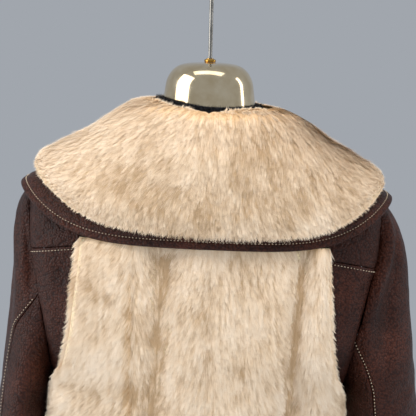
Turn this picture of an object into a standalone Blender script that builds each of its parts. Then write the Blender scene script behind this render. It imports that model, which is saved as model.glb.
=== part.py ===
"""A leather jacket with a fur cape collar and a fur back panel, on a limbless dress form that hangs by a rod.

Heights in the tables are millimetres above the nape of the neck, X runs to the wearer's left and the
wearer faces -Y. The origin is the inside of the hook's crown, so every point is lowered by NAPE and scaled
to metres when its object is made.
"""

import math

import bpy
import numpy as np

MM = 0.001

# ------------------------------------------------------------------ driving sizes, in millimetres
LEATHER = 2.4  # thickness of the jacket's hide
SEAM = 0.35  # half the gap that a seam keeps
BACK_PILE = 22.0  # how far the back panel's fur stands off its hide
COLLAR_PILE = 25.0  # how far the collar's fur stands off its hide
PILE_EDGE = 1.5  # what is left of the back's pile at its edges
COLLAR_PILE_EDGE = 2.0

NECKLINE = -20.0
SHOULDER_TIP = -108.0
ARMHOLE_TOP = -112.0
UNDERARM = -372.0
YOKE_SEAM = -175.5  # height of the curve of the yoke seam at the centre back
YOKE_DROP = 20.5  # how far that curve falls from there to the armhole
YOKE_SLANT = 3.0  # how far the seam's left end stands above its middle, and its right end below it
FUR_TOP = -172.0  # where the back's fur starts, under the collar
SIDE_PANEL_END = -372.0  # where the side panel narrows away at the side seam
SIDE_PANEL_TOP = -186.0
SIDE_PANEL_ROWS = (SIDE_PANEL_TOP, -208.0, -232.0, -260.0, -288.0, -314.0, -338.0, -358.0, SIDE_PANEL_END + 1)
HEM = -620.0
CUFF = -735.0

LEAN_UP = 0.02  # rise of the garment for each millimetre to its left
LEAN_OUT = 0.02  # drift to its left for each millimetre below LEAN_FROM
LEAN_FROM = -110.0
UPRIGHT = ("form_torso", "neck_cap", "cap_ferrule", "hanging_rod")  # what hangs plumb

HOOK_RADIUS = 20.0
HOOK_CENTRE = 185.0
ROD_RADIUS = 2.75
NAPE = HOOK_CENTRE + HOOK_RADIUS - ROD_RADIUS  # height of the hook's crown above the nape

# The body's section at each height: a quarter curve from the centre back, or the centre front, to the edge.
# The edge is the shoulder seam, then the armhole, then the side seam.
BODY_COLUMNS = ("height", "edge_x", "back_y", "front_y")
BODY_ROWS = (
    (-20, 73, 72, -71),
    (-36, 92, 80, -78),
    (-52, 116, 88, -85),
    (-68, 143, 94, -92),
    (-84, 171, 98, -97),
    (-98, 198, 101, -99),
    (-108, 220, 103, -101),
    (-112, 225, 104, -102),
    (-137, 227, 107, -109),
    (-178, 225, 112, -118),
    (-220, 216, 116, -124),
    (-260, 207, 118, -127),
    (-300, 199, 118, -128),
    (-340, 194, 117, -127),
    (-372, 192, 116, -125),
    (-430, 193, 115, -122),
    (-500, 196, 117, -120),
    (-560, 200, 121, -121),
    (-620, 204, 126, -123),
)
FLATNESS = 0.8  # under 1 makes a section flatter at the centre and squarer at its edge

# The sleeve at each height is part of an oval: reach is half its depth in Y, wrap is the angle from its
# outermost point to the armhole, and middle is the Y of its centre.
SLEEVE_COLUMNS = ("height", "reach", "wrap", "middle", "left_x", "right_x")
SLEEVE_ROWS = (
    (-112, 24, 90, 0, 226.6, 226.6),
    (-118, 31, 90, 0, 235, 235),
    (-126, 38, 90, 0, 240, 241),
    (-137, 45, 90, 0, 246, 249),
    (-155, 54, 90, 0, 250, 258),
    (-178, 62, 90, 0, 251, 265),
    (-220, 74, 90, 0, 252.5, 271),
    (-250, 79, 92, 0, 253.5, 275),
    (-275, 82, 99, -1, 254.5, 279),
    (-300, 84, 112, -2, 256.5, 283),
    (-325, 86, 131, -3, 258, 285),
    (-350, 87, 154, -4, 260, 287),
    (-372, 88, 180, -5, 262, 289),
    (-430, 86, 180, -8, 267, 293),
    (-500, 81, 180, -14, 273, 296),
    (-580, 75, 180, -24, 280, 299),
    (-660, 68, 180, -37, 284, 301),
    (-735, 63, 180, -52, 286, 301),
)
# How far the sleeve's inner edge stands off the body.
STANDOFF_COLUMNS = ("height", "clear")
STANDOFF_ROWS = ((-112, 0.8), (-340, 0.8), (-372, 4.5), (-430, 9), (-735, 10))
# Where each sleeve's back seam runs, as an angle from its outermost point towards the back.
BACK_SEAM_COLUMNS = ("height", "left", "right")
BACK_SEAM_ROWS = (
    (-250, 92, 116),
    (-275, 70, 114),
    (-300, 54, 112),
    (-325, 49, 110),
    (-400, 47, 105),
    (-500, 52, 93),
    (-735, 62, 76),
)
FRONT_SEAM = -101.0  # angle of the front seam, all the way down
SEAM_TURN = math.degrees(1.6 * SEAM / 60)  # the angle that half a sleeve seam's gap takes up
SLEEVE_MIDDLE = (228.0, -15.0)  # X and Y of a line inside the sleeve
SHOULDER_THIN, SHOULDER_THIN_OVER = 0.45, 25.0  # the hide is pared to this share at the shoulder, over this height
SLEEVE_LEVELS = (-262, -287, -361, -384, -405, -465, -540, -620, -700)  # more rows between the table's
UNDER_LEVELS = (-384, -405, -430, -465, -500, -540, -580, -620, -660, -700)

# The fur panel's half width at each height, down to where it meets the side seam.
FUR_COLUMNS = ("height", "half_width")
FUR_ROWS = (
    (-187, 159),
    (-245, 163),
    (-290, 166),
    (-330, 172),
    (-355, 179),
    (-372, 186),
)
FUR_STEADY = 40.0  # angle out to which the fur panel's columns stay plumb
FUR_ROUND_TOP, FUR_ROUND_HEM, FUR_ROUND_SIDE = 16.0, 18.0, 22.0  # how far in from its edges the pile rounds down
PRESSED_FROM, PRESSED_OVER = 84.0, 30.0  # the sleeve presses the pile beyond the first angle, less and less inwards
PRESSED_SHARE = 0.04
YOKE_DROPS = (0, 0.1, 0.22, 0.36, 0.5, 0.57, 0.72, 0.86, 1)  # rows of the yoke, as shares of its height
# The back's long folds: across is millimetres to the wearer's left at the fold's top and bottom.
FOLD_COLUMNS = ("top_across", "bottom_across", "width", "depth", "top", "bottom")
BACK_FOLDS = (
    (90, 72, 9, -5, -205, -650),
    (46, 66, 17, -11, -172, -650),
    (-8, -10, 9, -3, -220, -520),
    (-126, -100, 10, -13, -172, -650),
    (116, 118, 26, 5, -190, -650),
    (-146, -140, 18, 5, -172, -650),
    (16, 22, 24, 4, -190, -650),
)
# A sleeve's folds: angle is where the fold lies round the sleeve, at its top and at its bottom.
SLEEVE_FOLD_COLUMNS = ("side", "top_angle", "bottom_angle", "width", "depth", "top", "bottom")
SLEEVE_FOLDS = (
    ("left", 34, 60, 15, 4, -130, -330),
    ("left", 74, 84, 11, -3, -160, -300),
    ("left", 10, 30, 16, -3, -420, -640),
    ("left", -50, -30, 14, 4, -380, -600),
    ("right", 30, 80, 14, 5, -130, -345),
    ("right", 66, 110, 12, -4, -165, -360),
    ("right", 15, 40, 20, 4, -330, -560),
    ("right", -60, -30, 16, -4, -360, -640),
)

# The collar's hide, in quarter ellipses from the neck to the rim: half widths, back and front depths,
# and heights at the side, at the centre back and at the centre front.
COLLAR_COLUMNS = ("share", "side_x", "back_y", "front_y", "side_z", "back_z", "front_z")
COLLAR_ROWS = (
    (0.0, 78, 74, -74, -17, -15, -16),
    (0.2, 104, 97, -98, -30, -20, -26),
    (0.45, 141, 119, -119, -56, -45, -56),
    (0.7, 188, 131, -134, -81, -103, -108),
    (1.0, 243, 138, -143, -113, -177, -186),
)
COLLAR_TURN = 138.0  # angle from the centre back at which the rim starts to round up to the neck
COLLAR_END = 172.0  # angle at which the collar ends, near the centre front
FUR_INSET = 16.5  # width of the leather between the collar's fur and its rim
COLLAR_GAP = 2.2  # between the under collar and what lies on it
EDGE_ROLL = 2.6  # radius of the rolled edge of the collar's leather
EDGE_LIFT = 0.8  # how far the roll's middle stands above the under collar
EDGE_THICK = 1.6
EDGE_RUNS = (14.0, 10.5, 7.0)  # distances from the rim at which the edge lies on the under collar
EDGE_BENDS = (100, 55, 10, -35, -80, -125, -170)
UNDER_COLLAR_INSET = 7.5
COLLAR_SHARES = (0, 0.04, 0.11, 0.23, 0.38, 0.53, 0.68, 0.8, 0.9, 0.97, 1)  # rows of the fur, neck to rim
CENTRE_SHARE, CENTRE_OVER = 0.45, 9.0  # the pile sinks to this share at the centre seam, over this angle

BAND_RADIUS, BAND_THICK, BAND_TALL, BAND_BASE = 67.0, 5.0, 17.0, -11.0

CAP_COLUMNS = ("height", "radius")
CAP_ROWS = (
    (-9.0, 61.0),
    (4.0, 60.3),
    (18.0, 58.7),
    (29.0, 56.8),
    (38.0, 52.9),
    (45.0, 47.2),
    (50.0, 39.5),
    (52.8, 28.0),
    (54.0, 12.0),
)

TORSO_COLUMNS = ("height", "side_x", "back_y", "front_y")
TORSO_ROWS = (
    (-9.4, 55, 54, -54),
    (-30, 57, 57, -57),
    (-46, 84, 66, -66),
    (-66, 118, 76, -76),
    (-88, 156, 84, -86),
    (-115, 190, 91, -94),
    (-150, 195, 95, -102),
    (-220, 184, 100, -109),
    (-300, 172, 101, -112),
    (-400, 152, 93, -100),
    (-480, 156, 94, -94),
    (-560, 166, 103, -99),
    (-590, 168, 105, -99),
)

COLOURS = {
    "brown_leather": ((0.046, 0.022, 0.017), 0.48, 0.0),
    "cream_fur": ((0.76, 0.60, 0.42), 0.9, 0.0),
    "black_rib_knit": ((0.008, 0.008, 0.010), 0.85, 0.0),
    "polished_cap": ((0.60, 0.57, 0.50), 0.18, 1.0),
    "rod_steel": ((0.50, 0.49, 0.46), 0.25, 1.0),
    "brass": ((0.70, 0.45, 0.12), 0.25, 1.0),
    "form_cover": ((0.02, 0.02, 0.022), 0.9, 0.0),
}


# ------------------------------------------------------------------ tables, curves and meshes
def column(rows, columns, name):
    """One column of a table, as an array."""
    return np.array([row[columns.index(name)] for row in rows], float)


def smooth_curve(places, values):
    """A function through the table's points that bends smoothly and never overshoots them."""
    order = np.argsort(places)
    x, y = places[order], values[order]
    slope = np.diff(y) / np.diff(x)
    both = slope[:-1] * slope[1:]
    inner = np.where(both > 0, 2 * both / (slope[:-1] + slope[1:] + (both <= 0)), 0)
    tangent = np.concatenate([slope[:1], inner, slope[-1:]])

    def value(at):
        at = np.clip(at, x[0], x[-1])
        i = np.clip(np.searchsorted(x, at, side="right") - 1, 0, len(x) - 2)
        step = x[i + 1] - x[i]
        s = (at - x[i]) / step
        start = (1 + 2 * s) * (1 - s) ** 2 * y[i] + s * (1 - s) ** 2 * step * tangent[i]
        return start + s * s * (3 - 2 * s) * y[i + 1] + s * s * (s - 1) * step * tangent[i + 1]

    return value


def table(rows, columns, name, place="height"):
    """One column of a table, as a smooth function of another."""
    return smooth_curve(column(rows, columns, place), column(rows, columns, name))


def smooth_step(s):
    s = np.clip(s, 0, 1)
    return s * s * (3 - 2 * s)


def rounded(distance, radius):
    """0 at an edge and 1 a radius in from it, along a quarter circle."""
    s = np.clip(distance / radius, 0, 1)
    return np.sqrt(1 - (1 - s) ** 2)


def stack(x, y, z):
    return np.stack(np.broadcast_arrays(x, y, z), axis=-1).astype(float)


def outward(surface, u, v, limit=90.0, du=1.0, dv=2.0, centre=(0.0, 0.0)):
    """Unit normals of a surface of two parameters, pointing away from a vertical line through the centre."""
    u = np.clip(u, -limit + 3 * du, limit - 3 * du)
    across = surface(u + du, v) - surface(u - du, v)
    along = surface(u, v + dv) - surface(u, v - dv)
    normal = np.cross(across, along)
    normal /= np.linalg.norm(normal, axis=-1, keepdims=True)
    away = surface(u, v)[..., :2] - np.array(centre)
    return normal * np.sign((normal[..., :2] * away).sum())


def grid_faces(rows, cols, first=0, closed=False):
    """The quads of a grid whose points are numbered row by row, closed round its columns if asked."""
    r, c = np.meshgrid(np.arange(rows - 1), np.arange(cols if closed else cols - 1), indexing="ij")
    a, b = r * cols + c, r * cols + (c + 1) % cols
    return (np.stack([a, b, b + cols, a + cols], axis=-1).reshape(-1, 4) + first).tolist()


def lean(points):
    """The garment hangs a little askew: lower on its right, and further to its left towards the hem."""
    x, y, z = np.moveaxis(points, -1, 0)
    return stack(x + LEAN_OUT * np.maximum(LEAN_FROM - z, 0), y, z + LEAN_UP * x)


def add_object(name, points, faces, material):
    """A closed mesh object from points in millimetres about the nape, with its faces turned outwards."""
    points = np.asarray(points, float).reshape(-1, 3)
    if name not in UPRIGHT:
        points = lean(points)
    middle = points.mean(axis=0)
    volume = 0.0
    for face in faces:
        for k in range(1, len(face) - 1):
            a, b, c = points[face[0]] - middle, points[face[k]] - middle, points[face[k + 1]] - middle
            volume += float(np.dot(a, np.cross(b, c)))
    if volume < 0:
        faces = [face[::-1] for face in faces]
    mesh = bpy.data.meshes.new(name)
    mesh.from_pydata(((points - [0, 0, NAPE]) * MM).tolist(), [], faces)
    mesh.shade_smooth()
    mesh.set_sharp_from_angle(angle=math.radians(40))
    mesh.materials.append(material)
    obj = bpy.data.objects.new(name, mesh)
    bpy.context.scene.collection.objects.link(obj)
    return obj


def shell(name, outside, inside, material):
    """A closed wall between two grids of the same size, with its rim."""
    rows, cols = outside.shape[:2]
    count = rows * cols
    ring = list(range(cols)) + [r * cols + cols - 1 for r in range(1, rows)]
    ring += [(rows - 1) * cols + c for c in range(cols - 2, -1, -1)] + [r * cols for r in range(rows - 2, 0, -1)]
    after = ring[1:] + ring[:1]
    faces = grid_faces(rows, cols)
    faces += [face[::-1] for face in grid_faces(rows, cols, count)]
    faces += [(b, a, a + count, b + count) for a, b in zip(ring, after)]
    points = np.concatenate([outside.reshape(-1, 3), inside.reshape(-1, 3)])
    return add_object(name, points, faces, material)


def rings_solid(name, rings, material, closed=False):
    """A closed solid through rings of points: flat at both ends, or joined end to end."""
    count, cols = rings.shape[:2]
    faces = grid_faces(count, cols, closed=True)
    if closed:
        last = (count - 1) * cols
        faces += [(last + c, last + (c + 1) % cols, (c + 1) % cols, c) for c in range(cols)]
    else:
        faces += [tuple(range(cols))[::-1], tuple(range((count - 1) * cols, count * cols))]
    return add_object(name, rings, faces, material)


# ------------------------------------------------------------------ the body's surface
edge_x = table(BODY_ROWS, BODY_COLUMNS, "edge_x")
back_y = table(BODY_ROWS, BODY_COLUMNS, "back_y")
front_y = table(BODY_ROWS, BODY_COLUMNS, "front_y")
reach = table(SLEEVE_ROWS, SLEEVE_COLUMNS, "reach")
wrap = table(SLEEVE_ROWS, SLEEVE_COLUMNS, "wrap")
middle_y = table(SLEEVE_ROWS, SLEEVE_COLUMNS, "middle")
standoff = table(STANDOFF_ROWS, STANDOFF_COLUMNS, "clear")
fur_half_width = table(FUR_ROWS, FUR_COLUMNS, "half_width")


def armhole_y(z):
    """How far the armhole's edge lies from the sleeve's middle: nothing above the tip or below the underarm."""
    opened = np.maximum(reach(z) * np.sin(np.radians(wrap(z))), 0)
    return np.where(z > ARMHOLE_TOP, reach(ARMHOLE_TOP) * smooth_step((SHOULDER_TIP - z) / 4), opened)


def back_surface(angle, z):
    """A point of the back: angle is -90 at the right edge, 0 at the centre back and 90 at the left edge."""
    a = np.radians(angle)
    side = middle_y(z) + armhole_y(z) + SEAM
    depth = (back_y(z) - side) * np.abs(np.cos(a)) ** FLATNESS
    return stack(edge_x(z) * np.sin(a), side + depth, z)


def front_surface(angle, z):
    """A point of the front, with the same angles."""
    a = np.radians(angle)
    side = middle_y(z) - armhole_y(z) - SEAM
    depth = (front_y(z) - side) * np.abs(np.cos(a)) ** FLATNESS
    return stack(edge_x(z) * np.sin(a), side + depth, z)


def angle_at(x, z):
    """The angle at which the back or front is x from the middle."""
    return np.degrees(np.arcsin(np.clip(x / edge_x(z), -1, 1)))


def body_wall(name, surface, angles, z, material):
    """A panel of leather whose outer face is part of the back or the front."""
    outside = surface(angles, z)
    shell(name, outside, outside - LEATHER * outward(surface, angles, z), material)


def yoke_seam(angle):
    """Height of the seam under the yoke at an angle of the back."""
    across = np.sin(np.radians(angle))
    return YOKE_SEAM + YOKE_SLANT * across - YOKE_DROP * across**2


def make_yoke(material):
    """The leather yoke across the shoulders, whose lower edge steps up over the fur, under the collar."""
    beside = angle_at(FUR_ROWS[0][1] + 4 * SEAM, SIDE_PANEL_TOP)
    above = angle_at(FUR_ROWS[0][1] + 3 * SEAM, FUR_TOP)
    outer = np.linspace(beside, 90, 6)
    angles = np.concatenate([-outer[::-1], np.linspace(-above, above, 15), outer])[None, :]
    lower = np.where(np.abs(angles) > above + 0.1, yoke_seam(angles) + SEAM, FUR_TOP + 2 * SEAM)
    z = NECKLINE + np.array(YOKE_DROPS)[:, None] * (lower - NECKLINE)
    body_wall("back_yoke", back_surface, np.broadcast_to(angles, z.shape), z, material)


def make_side_back(side, sign, material):
    """The leather panel between the fur and the armhole, which narrows to the underarm."""
    share = np.linspace(0, 1, 5)[None, :]
    levels = np.array(SIDE_PANEL_ROWS, float)[:, None]
    inner = angle_at(fur_half_width(levels) + 4 * SEAM, levels)
    angles = inner + share * (90 - inner)
    z = np.broadcast_to(levels, angles.shape).copy()
    z[0] = yoke_seam(sign * angles[0]) - SEAM
    body_wall(f"side_back_{side}", back_surface, sign * angles, z, material)


def make_front(side, sign, material):
    """One leather front, from the neck and shoulder to the hem. The two meet edge to edge."""
    heights = [NECKLINE, -36, -52, -68, -84, -98, SHOULDER_TIP, ARMHOLE_TOP, -137, -178, -220, -260]
    z = np.array(heights + [-300, -340, UNDERARM, -430, -500, -560, HEM], float)[:, None]
    start = angle_at(SEAM, z)
    angles = start + np.linspace(0, 1, 9)[None, :] ** 0.9 * (90 - start)
    body_wall(f"front_{side}", front_surface, sign * angles, np.broadcast_to(z, angles.shape), material)


def back_folds(x, z):
    """How far the back's folds move its fur outwards."""
    moved = np.zeros(np.broadcast(x, z).shape)
    for top_across, bottom_across, width, depth, top, bottom in BACK_FOLDS:
        along = np.clip((top - z) / (top - bottom), 0, 1)
        across = top_across + (bottom_across - top_across) * along
        fade = smooth_step((top - z) / 50) * smooth_step((z - bottom) / 60)
        moved += depth * fade * np.exp(-(((x - across) / width) ** 2))
    return moved


def make_back_fur(material):
    """The pelt of the back: a hide with its pile, rounded at its edges and pressed down beside the sleeves."""
    upper = [FUR_TOP, FUR_TOP - 5, FUR_TOP - 10, *SIDE_PANEL_ROWS[:-1], SIDE_PANEL_END + 0.5]
    levels = np.concatenate([upper, np.linspace(SIDE_PANEL_END - 1, HEM + 16, 8), [HEM + 5, HEM]])
    middle = np.linspace(-FUR_STEADY, FUR_STEADY, 27)[None, :]
    outer = np.linspace(0, 1, 5)[None, 1:]
    z = levels[:, None] + np.zeros((1, middle.size + 2 * outer.size))
    half = np.where(z[:, :1] > SIDE_PANEL_END, angle_at(fur_half_width(z[:, :1]), z[:, :1]), 90.0)
    edge = FUR_STEADY + outer * (half - FUR_STEADY)
    angle = np.concatenate([-edge[:, ::-1], middle + 0 * half, edge], axis=1)
    root = back_surface(angle, z)
    normal = outward(back_surface, angle, z)
    from_side = np.radians(half - np.abs(angle)) * edge_x(z)
    edges = rounded(FUR_TOP - z, FUR_ROUND_TOP) * rounded(z - HEM, FUR_ROUND_HEM)
    edges = edges * rounded(from_side, FUR_ROUND_SIDE)
    free = PRESSED_SHARE + (1 - PRESSED_SHARE) * smooth_step((PRESSED_FROM - np.abs(angle)) / PRESSED_OVER)
    pile = PILE_EDGE + (BACK_PILE - PILE_EDGE + back_folds(root[..., 0], z)) * edges * free
    shell("back_fur", root + pile[..., None] * normal, root - LEATHER * normal, material)


# ------------------------------------------------------------------ the sleeves
def sleeve_surface(side):
    """The surface of one sleeve: angle is 0 at its outermost point and positive towards the back."""
    sign = 1 if side == "left" else -1
    outer_x = table(SLEEVE_ROWS, SLEEVE_COLUMNS, f"{side}_x")

    def folds(angle, z):
        moved = np.zeros(np.broadcast(angle, z).shape)
        for name, top_angle, bottom_angle, width, depth, top, bottom in SLEEVE_FOLDS:
            if name == side:
                along = np.clip((top - z) / (top - bottom), 0, 1)
                place = top_angle + (bottom_angle - top_angle) * along
                fade = smooth_step((top - z) / 60) * smooth_step((z - bottom) / 60)
                moved += depth * fade * np.exp(-(((angle - place) / width) ** 2))
        return moved

    def surface(angle, z):
        a, turned = np.radians(angle), np.radians(wrap(z))
        inner = edge_x(z) + standoff(z)
        half = (outer_x(z) - inner) / (1 - np.cos(turned))
        bulge = folds(angle, z)
        x = outer_x(z) - half + (half + bulge) * np.cos(a)
        return stack(sign * x, middle_y(z) + (reach(z) + bulge) * np.sin(a), z)

    return surface


def sleeve_wall(name, surface, angles, z, centre, material):
    """A piece of sleeve, thinner where it starts at the shoulder."""
    outside = surface(angles, z)
    full = smooth_step((ARMHOLE_TOP - z) / SHOULDER_THIN_OVER)
    thick = LEATHER * (SHOULDER_THIN + (1 - SHOULDER_THIN) * full)
    normal = outward(surface, angles, z, limit=400.0, centre=centre)
    shell(name, outside, outside - thick[..., None] * normal, material)


def make_sleeve(side, sign, material):
    """The upper and the under sleeve, from the armhole to the open cuff."""
    surface = sleeve_surface(side)
    back_seam = table(BACK_SEAM_ROWS, BACK_SEAM_COLUMNS, side)
    levels = column(SLEEVE_ROWS, SLEEVE_COLUMNS, "height")
    z = np.sort(np.concatenate([levels, SLEEVE_LEVELS]))[::-1][:, None]
    start = np.maximum(-wrap(z), FRONT_SEAM + SEAM_TURN)
    stop = np.minimum(wrap(z), back_seam(z) - SEAM_TURN)
    angles = start + np.linspace(0, 1, 12)[None, :] * (stop - start)
    centre = (sign * SLEEVE_MIDDLE[0], SLEEVE_MIDDLE[1])
    sleeve_wall(f"sleeve_upper_{side}", surface, angles, np.broadcast_to(z, angles.shape), centre, material)
    columns = []
    scan = np.arange(-245, UNDERARM - 2, -0.25)
    end = 360 + FRONT_SEAM - SEAM_TURN
    for share in np.linspace(0, 1, 9):
        turned = back_seam(scan) + SEAM_TURN + share * (end - back_seam(scan) - SEAM_TURN)
        open_at = np.where(turned <= 180, turned, 360 - turned)
        top = scan[np.argmax(wrap(scan) >= open_at)]
        heights = np.concatenate([np.linspace(top, UNDERARM + 11, 9), [UNDERARM], UNDER_LEVELS, [CUFF]])
        seam = back_seam(heights) + SEAM_TURN
        columns.append((seam + share * (end - seam), heights))
    angles, z = (np.array([c[k] for c in columns]).T for k in (0, 1))
    sleeve_wall(f"sleeve_under_{side}", surface, angles, z, centre, material)


# ------------------------------------------------------------------ the collar
collar_curves = {name: table(COLLAR_ROWS, COLLAR_COLUMNS, name, "share") for name in COLLAR_COLUMNS[1:]}


def collar_surface(angle, share):
    """A point of the collar's hide: angle from the centre back, share of the way from the neck to the rim."""
    a = np.radians(angle)
    turn = smooth_step((np.abs(angle) - COLLAR_TURN) / (COLLAR_END - COLLAR_TURN))
    s = share * (1 - 0.5 * turn**1.5)
    c = {name: curve(s) for name, curve in collar_curves.items()}
    back = np.cos(a) > 0
    depth = np.where(back, c["back_y"], -c["front_y"])
    low = np.where(back, c["back_z"], c["front_z"])
    z = low + (c["side_z"] - low) * np.abs(np.sin(a)) ** 4.5
    squared = np.sign(np.cos(a)) * np.abs(np.cos(a)) ** (1 - 0.38 * s)
    return stack(c["side_x"] * np.sin(a), depth * squared, z)


def collar_normal(angle, share):
    """Unit normals of the collar, pointing up and out."""
    angle = np.clip(angle, -COLLAR_END + 1, COLLAR_END - 1)
    across = collar_surface(angle + 0.5, share) - collar_surface(angle - 0.5, share)
    along = collar_surface(angle, np.minimum(share + 0.02, 1)) - collar_surface(angle, np.maximum(share - 0.02, 0))
    normal = np.cross(across, along)
    normal /= np.linalg.norm(normal, axis=-1, keepdims=True)
    return normal * np.where(normal[..., 2:] < 0, -1, 1)


def rim_share(angle, distance):
    """The share of the way to the rim at which that many millimetres are left."""
    neck, crown, rim = (collar_surface(angle, np.full(np.shape(angle), s)) for s in (0.0, 0.45, 1.0))
    length = np.linalg.norm(rim - crown, axis=-1) + np.linalg.norm(crown - neck, axis=-1)
    return 1 - distance / length


def make_collar(leather, fur):
    """The under collar of leather, the rolled leather edge, and the fur in two halves."""
    half = np.concatenate([[0.25, 1.2, 3.5], np.linspace(8, COLLAR_END - 14, 18), [COLLAR_END - 6, COLLAR_END - 1]])
    rows = np.array(COLLAR_SHARES)[:, None]
    turns = np.concatenate([-half[:2:-1], [-0.25, 0.25], half[3:]])[None, :]
    beneath = rows[[0, 2, 3, 4, 5, 6, 7, 8, 10]] * rim_share(turns, FUR_INSET)
    share = np.concatenate([beneath, rim_share(turns, UNDER_COLLAR_INSET)])
    turns = np.broadcast_to(turns, share.shape)
    grid = collar_surface(turns, share)
    shell("under_collar", grid, grid - LEATHER * collar_normal(turns, share), leather)

    turns = np.linspace(-COLLAR_END + 0.5, COLLAR_END - 0.5, 57)[:, None]
    run = rim_share(turns, np.array([EDGE_RUNS]))
    top, normal = collar_surface(np.broadcast_to(turns, run.shape), run), collar_normal(turns, run)
    rim, rim_normal = collar_surface(turns, np.ones((1, 1))), collar_normal(turns, np.ones((1, 1)))
    out = rim - collar_surface(turns, np.full((1, 1), 0.97))
    out /= np.linalg.norm(out, axis=-1, keepdims=True)
    bend = np.radians(EDGE_BENDS)[None, :, None]
    centre = rim - EDGE_ROLL * out + EDGE_LIFT * rim_normal
    roll = centre + EDGE_ROLL * (np.cos(bend) * out + np.sin(bend) * rim_normal)
    over = top + (COLLAR_GAP + EDGE_THICK) * normal
    under = (top + COLLAR_GAP * normal)[:, ::-1]
    rings_solid("collar_edge", np.concatenate([over, roll, under], axis=1), leather)

    for side, sign in (("left", 1), ("right", -1)):
        part = half[None, :]
        share = rows * rim_share(part, FUR_INSET)
        turned = np.broadcast_to(sign * part, share.shape)
        root, normal = collar_surface(turned, share), collar_normal(turned, share)
        edges = rounded(share + 0.01, 0.12) * rounded(1.01 - rows, 0.11)
        ends = CENTRE_SHARE + (1 - CENTRE_SHARE) * rounded(part, CENTRE_OVER)
        ends = ends * rounded(COLLAR_END - part + 0.3, 12)
        pile = COLLAR_PILE_EDGE + (COLLAR_PILE - COLLAR_PILE_EDGE) * edges * ends
        foot = root + COLLAR_GAP * normal
        shell(f"collar_fur_{side}", foot + pile[..., None] * normal, foot, fur)


# ------------------------------------------------------------------ the dress form and what it hangs by
def circle(radius_x, radius_y, z, count):
    a = np.linspace(0, 2 * np.pi, count, endpoint=False)[None, :]
    return stack(radius_x * np.cos(a), radius_y * np.sin(a), z)


def make_form(cover, cap, brass):
    """The covered torso, its polished neck cap and the ferrule that the rod stands in."""
    rows = np.array(TORSO_ROWS, float)
    a = np.linspace(0, 2 * np.pi, 32, endpoint=False)[None, :]
    depth = np.where(np.sin(a) > 0, rows[:, 2:3], -rows[:, 3:4])
    rings_solid("form_torso", stack(rows[:, 1:2] * np.cos(a), depth * np.sin(a), rows[:, :1]), cover)

    rows = np.array(CAP_ROWS, float)
    rings_solid("neck_cap", circle(rows[:, 1:2], rows[:, 1:2], rows[:, :1], 36), cap)

    heights = np.array([54.3, 57.0, 57.8, 60.6, 61.2])[:, None]
    radii = np.array([6.4, 6.4, 5.6, 5.6, 5.0])[:, None]
    rings_solid("cap_ferrule", circle(radii, radii, heights, 20), brass)


def make_rod(steel):
    """The rod with its hook: up from the ferrule, out to one side and over the crown."""
    stem = [(0, 61.5), (0, 110), (0, 140), (1.5, 150), (6, 160), (13.5, 170), (18.5, 178)]
    turns = np.radians(np.arange(0, 206, 15))
    arc = [(HOOK_RADIUS * math.cos(t), HOOK_CENTRE + HOOK_RADIUS * math.sin(t)) for t in turns]
    path = np.array(stem + arc)
    along = np.gradient(path, axis=0)
    along /= np.linalg.norm(along, axis=1, keepdims=True)
    across = np.stack([along[:, 1], -along[:, 0]], axis=1)
    a = np.linspace(0, 2 * np.pi, 10, endpoint=False)[None, :]
    x = path[:, :1] + ROD_RADIUS * np.cos(a) * across[:, :1]
    z = path[:, 1:] + ROD_RADIUS * np.cos(a) * across[:, 1:]
    rings_solid("hanging_rod", stack(x, ROD_RADIUS * np.sin(a), z), steel)


def make_band(material):
    """The ribbed black band that stands inside the collar, round the neck."""
    a = np.linspace(0, 2 * np.pi, 40, endpoint=False)[:, None]
    bend = np.linspace(0, 2 * np.pi, 8, endpoint=False)[None, :]
    r = BAND_RADIUS + BAND_THICK / 2 * np.sign(np.cos(bend)) * np.abs(np.cos(bend)) ** 0.6
    z = BAND_BASE + BAND_TALL / 2 * (1 + np.sign(np.sin(bend)) * np.abs(np.sin(bend)) ** 0.6)
    rings_solid("neck_band", stack(r * np.cos(a), r * np.sin(a), z + 0 * a), material, closed=True)


def make_material(name):
    colour, rough, metal = COLOURS[name]
    material = bpy.data.materials.new(name)
    material.use_nodes = True
    shader = material.node_tree.nodes["Principled BSDF"]
    shader.inputs["Base Color"].default_value = (*colour, 1)
    shader.inputs["Roughness"].default_value = rough
    shader.inputs["Metallic"].default_value = metal
    return material


def main():
    for obj in list(bpy.data.objects):
        bpy.data.objects.remove(obj)
    material = {name: make_material(name) for name in COLOURS}
    leather, fur = material["brown_leather"], material["cream_fur"]
    make_yoke(leather)
    make_back_fur(fur)
    for side, sign in (("left", 1), ("right", -1)):
        make_side_back(side, sign, leather)
        make_front(side, sign, leather)
        make_sleeve(side, sign, leather)
    make_collar(leather, fur)
    make_band(material["black_rib_knit"])
    make_form(material["form_cover"], material["polished_cap"], material["brass"])
    make_rod(material["rod_steel"])


main()
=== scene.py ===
"""A leather jacket with a fur cape collar and a fur back panel, on a dress form that hangs by a rod.

Everything is worked out in millimetres above the nape of the neck, with X to the wearer's left and the
wearer facing -Y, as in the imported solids. place() leans the garment and turns it into the frame's metres.
"""

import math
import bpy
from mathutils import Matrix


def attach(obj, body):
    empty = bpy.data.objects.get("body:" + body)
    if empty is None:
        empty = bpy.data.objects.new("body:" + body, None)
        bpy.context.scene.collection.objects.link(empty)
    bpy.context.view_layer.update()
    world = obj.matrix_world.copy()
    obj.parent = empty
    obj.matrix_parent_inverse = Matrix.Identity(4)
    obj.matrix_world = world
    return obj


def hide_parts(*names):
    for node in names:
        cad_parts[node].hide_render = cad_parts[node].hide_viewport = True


bl_info = {
    "name": "Fur Collar Jacket",
    "version": (1, 0, 0),
    "blender": (4, 5, 0),
    "location": "3D View > Sidebar > Jacket",
    "description": "Dresses the packed jacket and its dress form with leather, fur and metal",
    "category": "Add Mesh",
}

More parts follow.
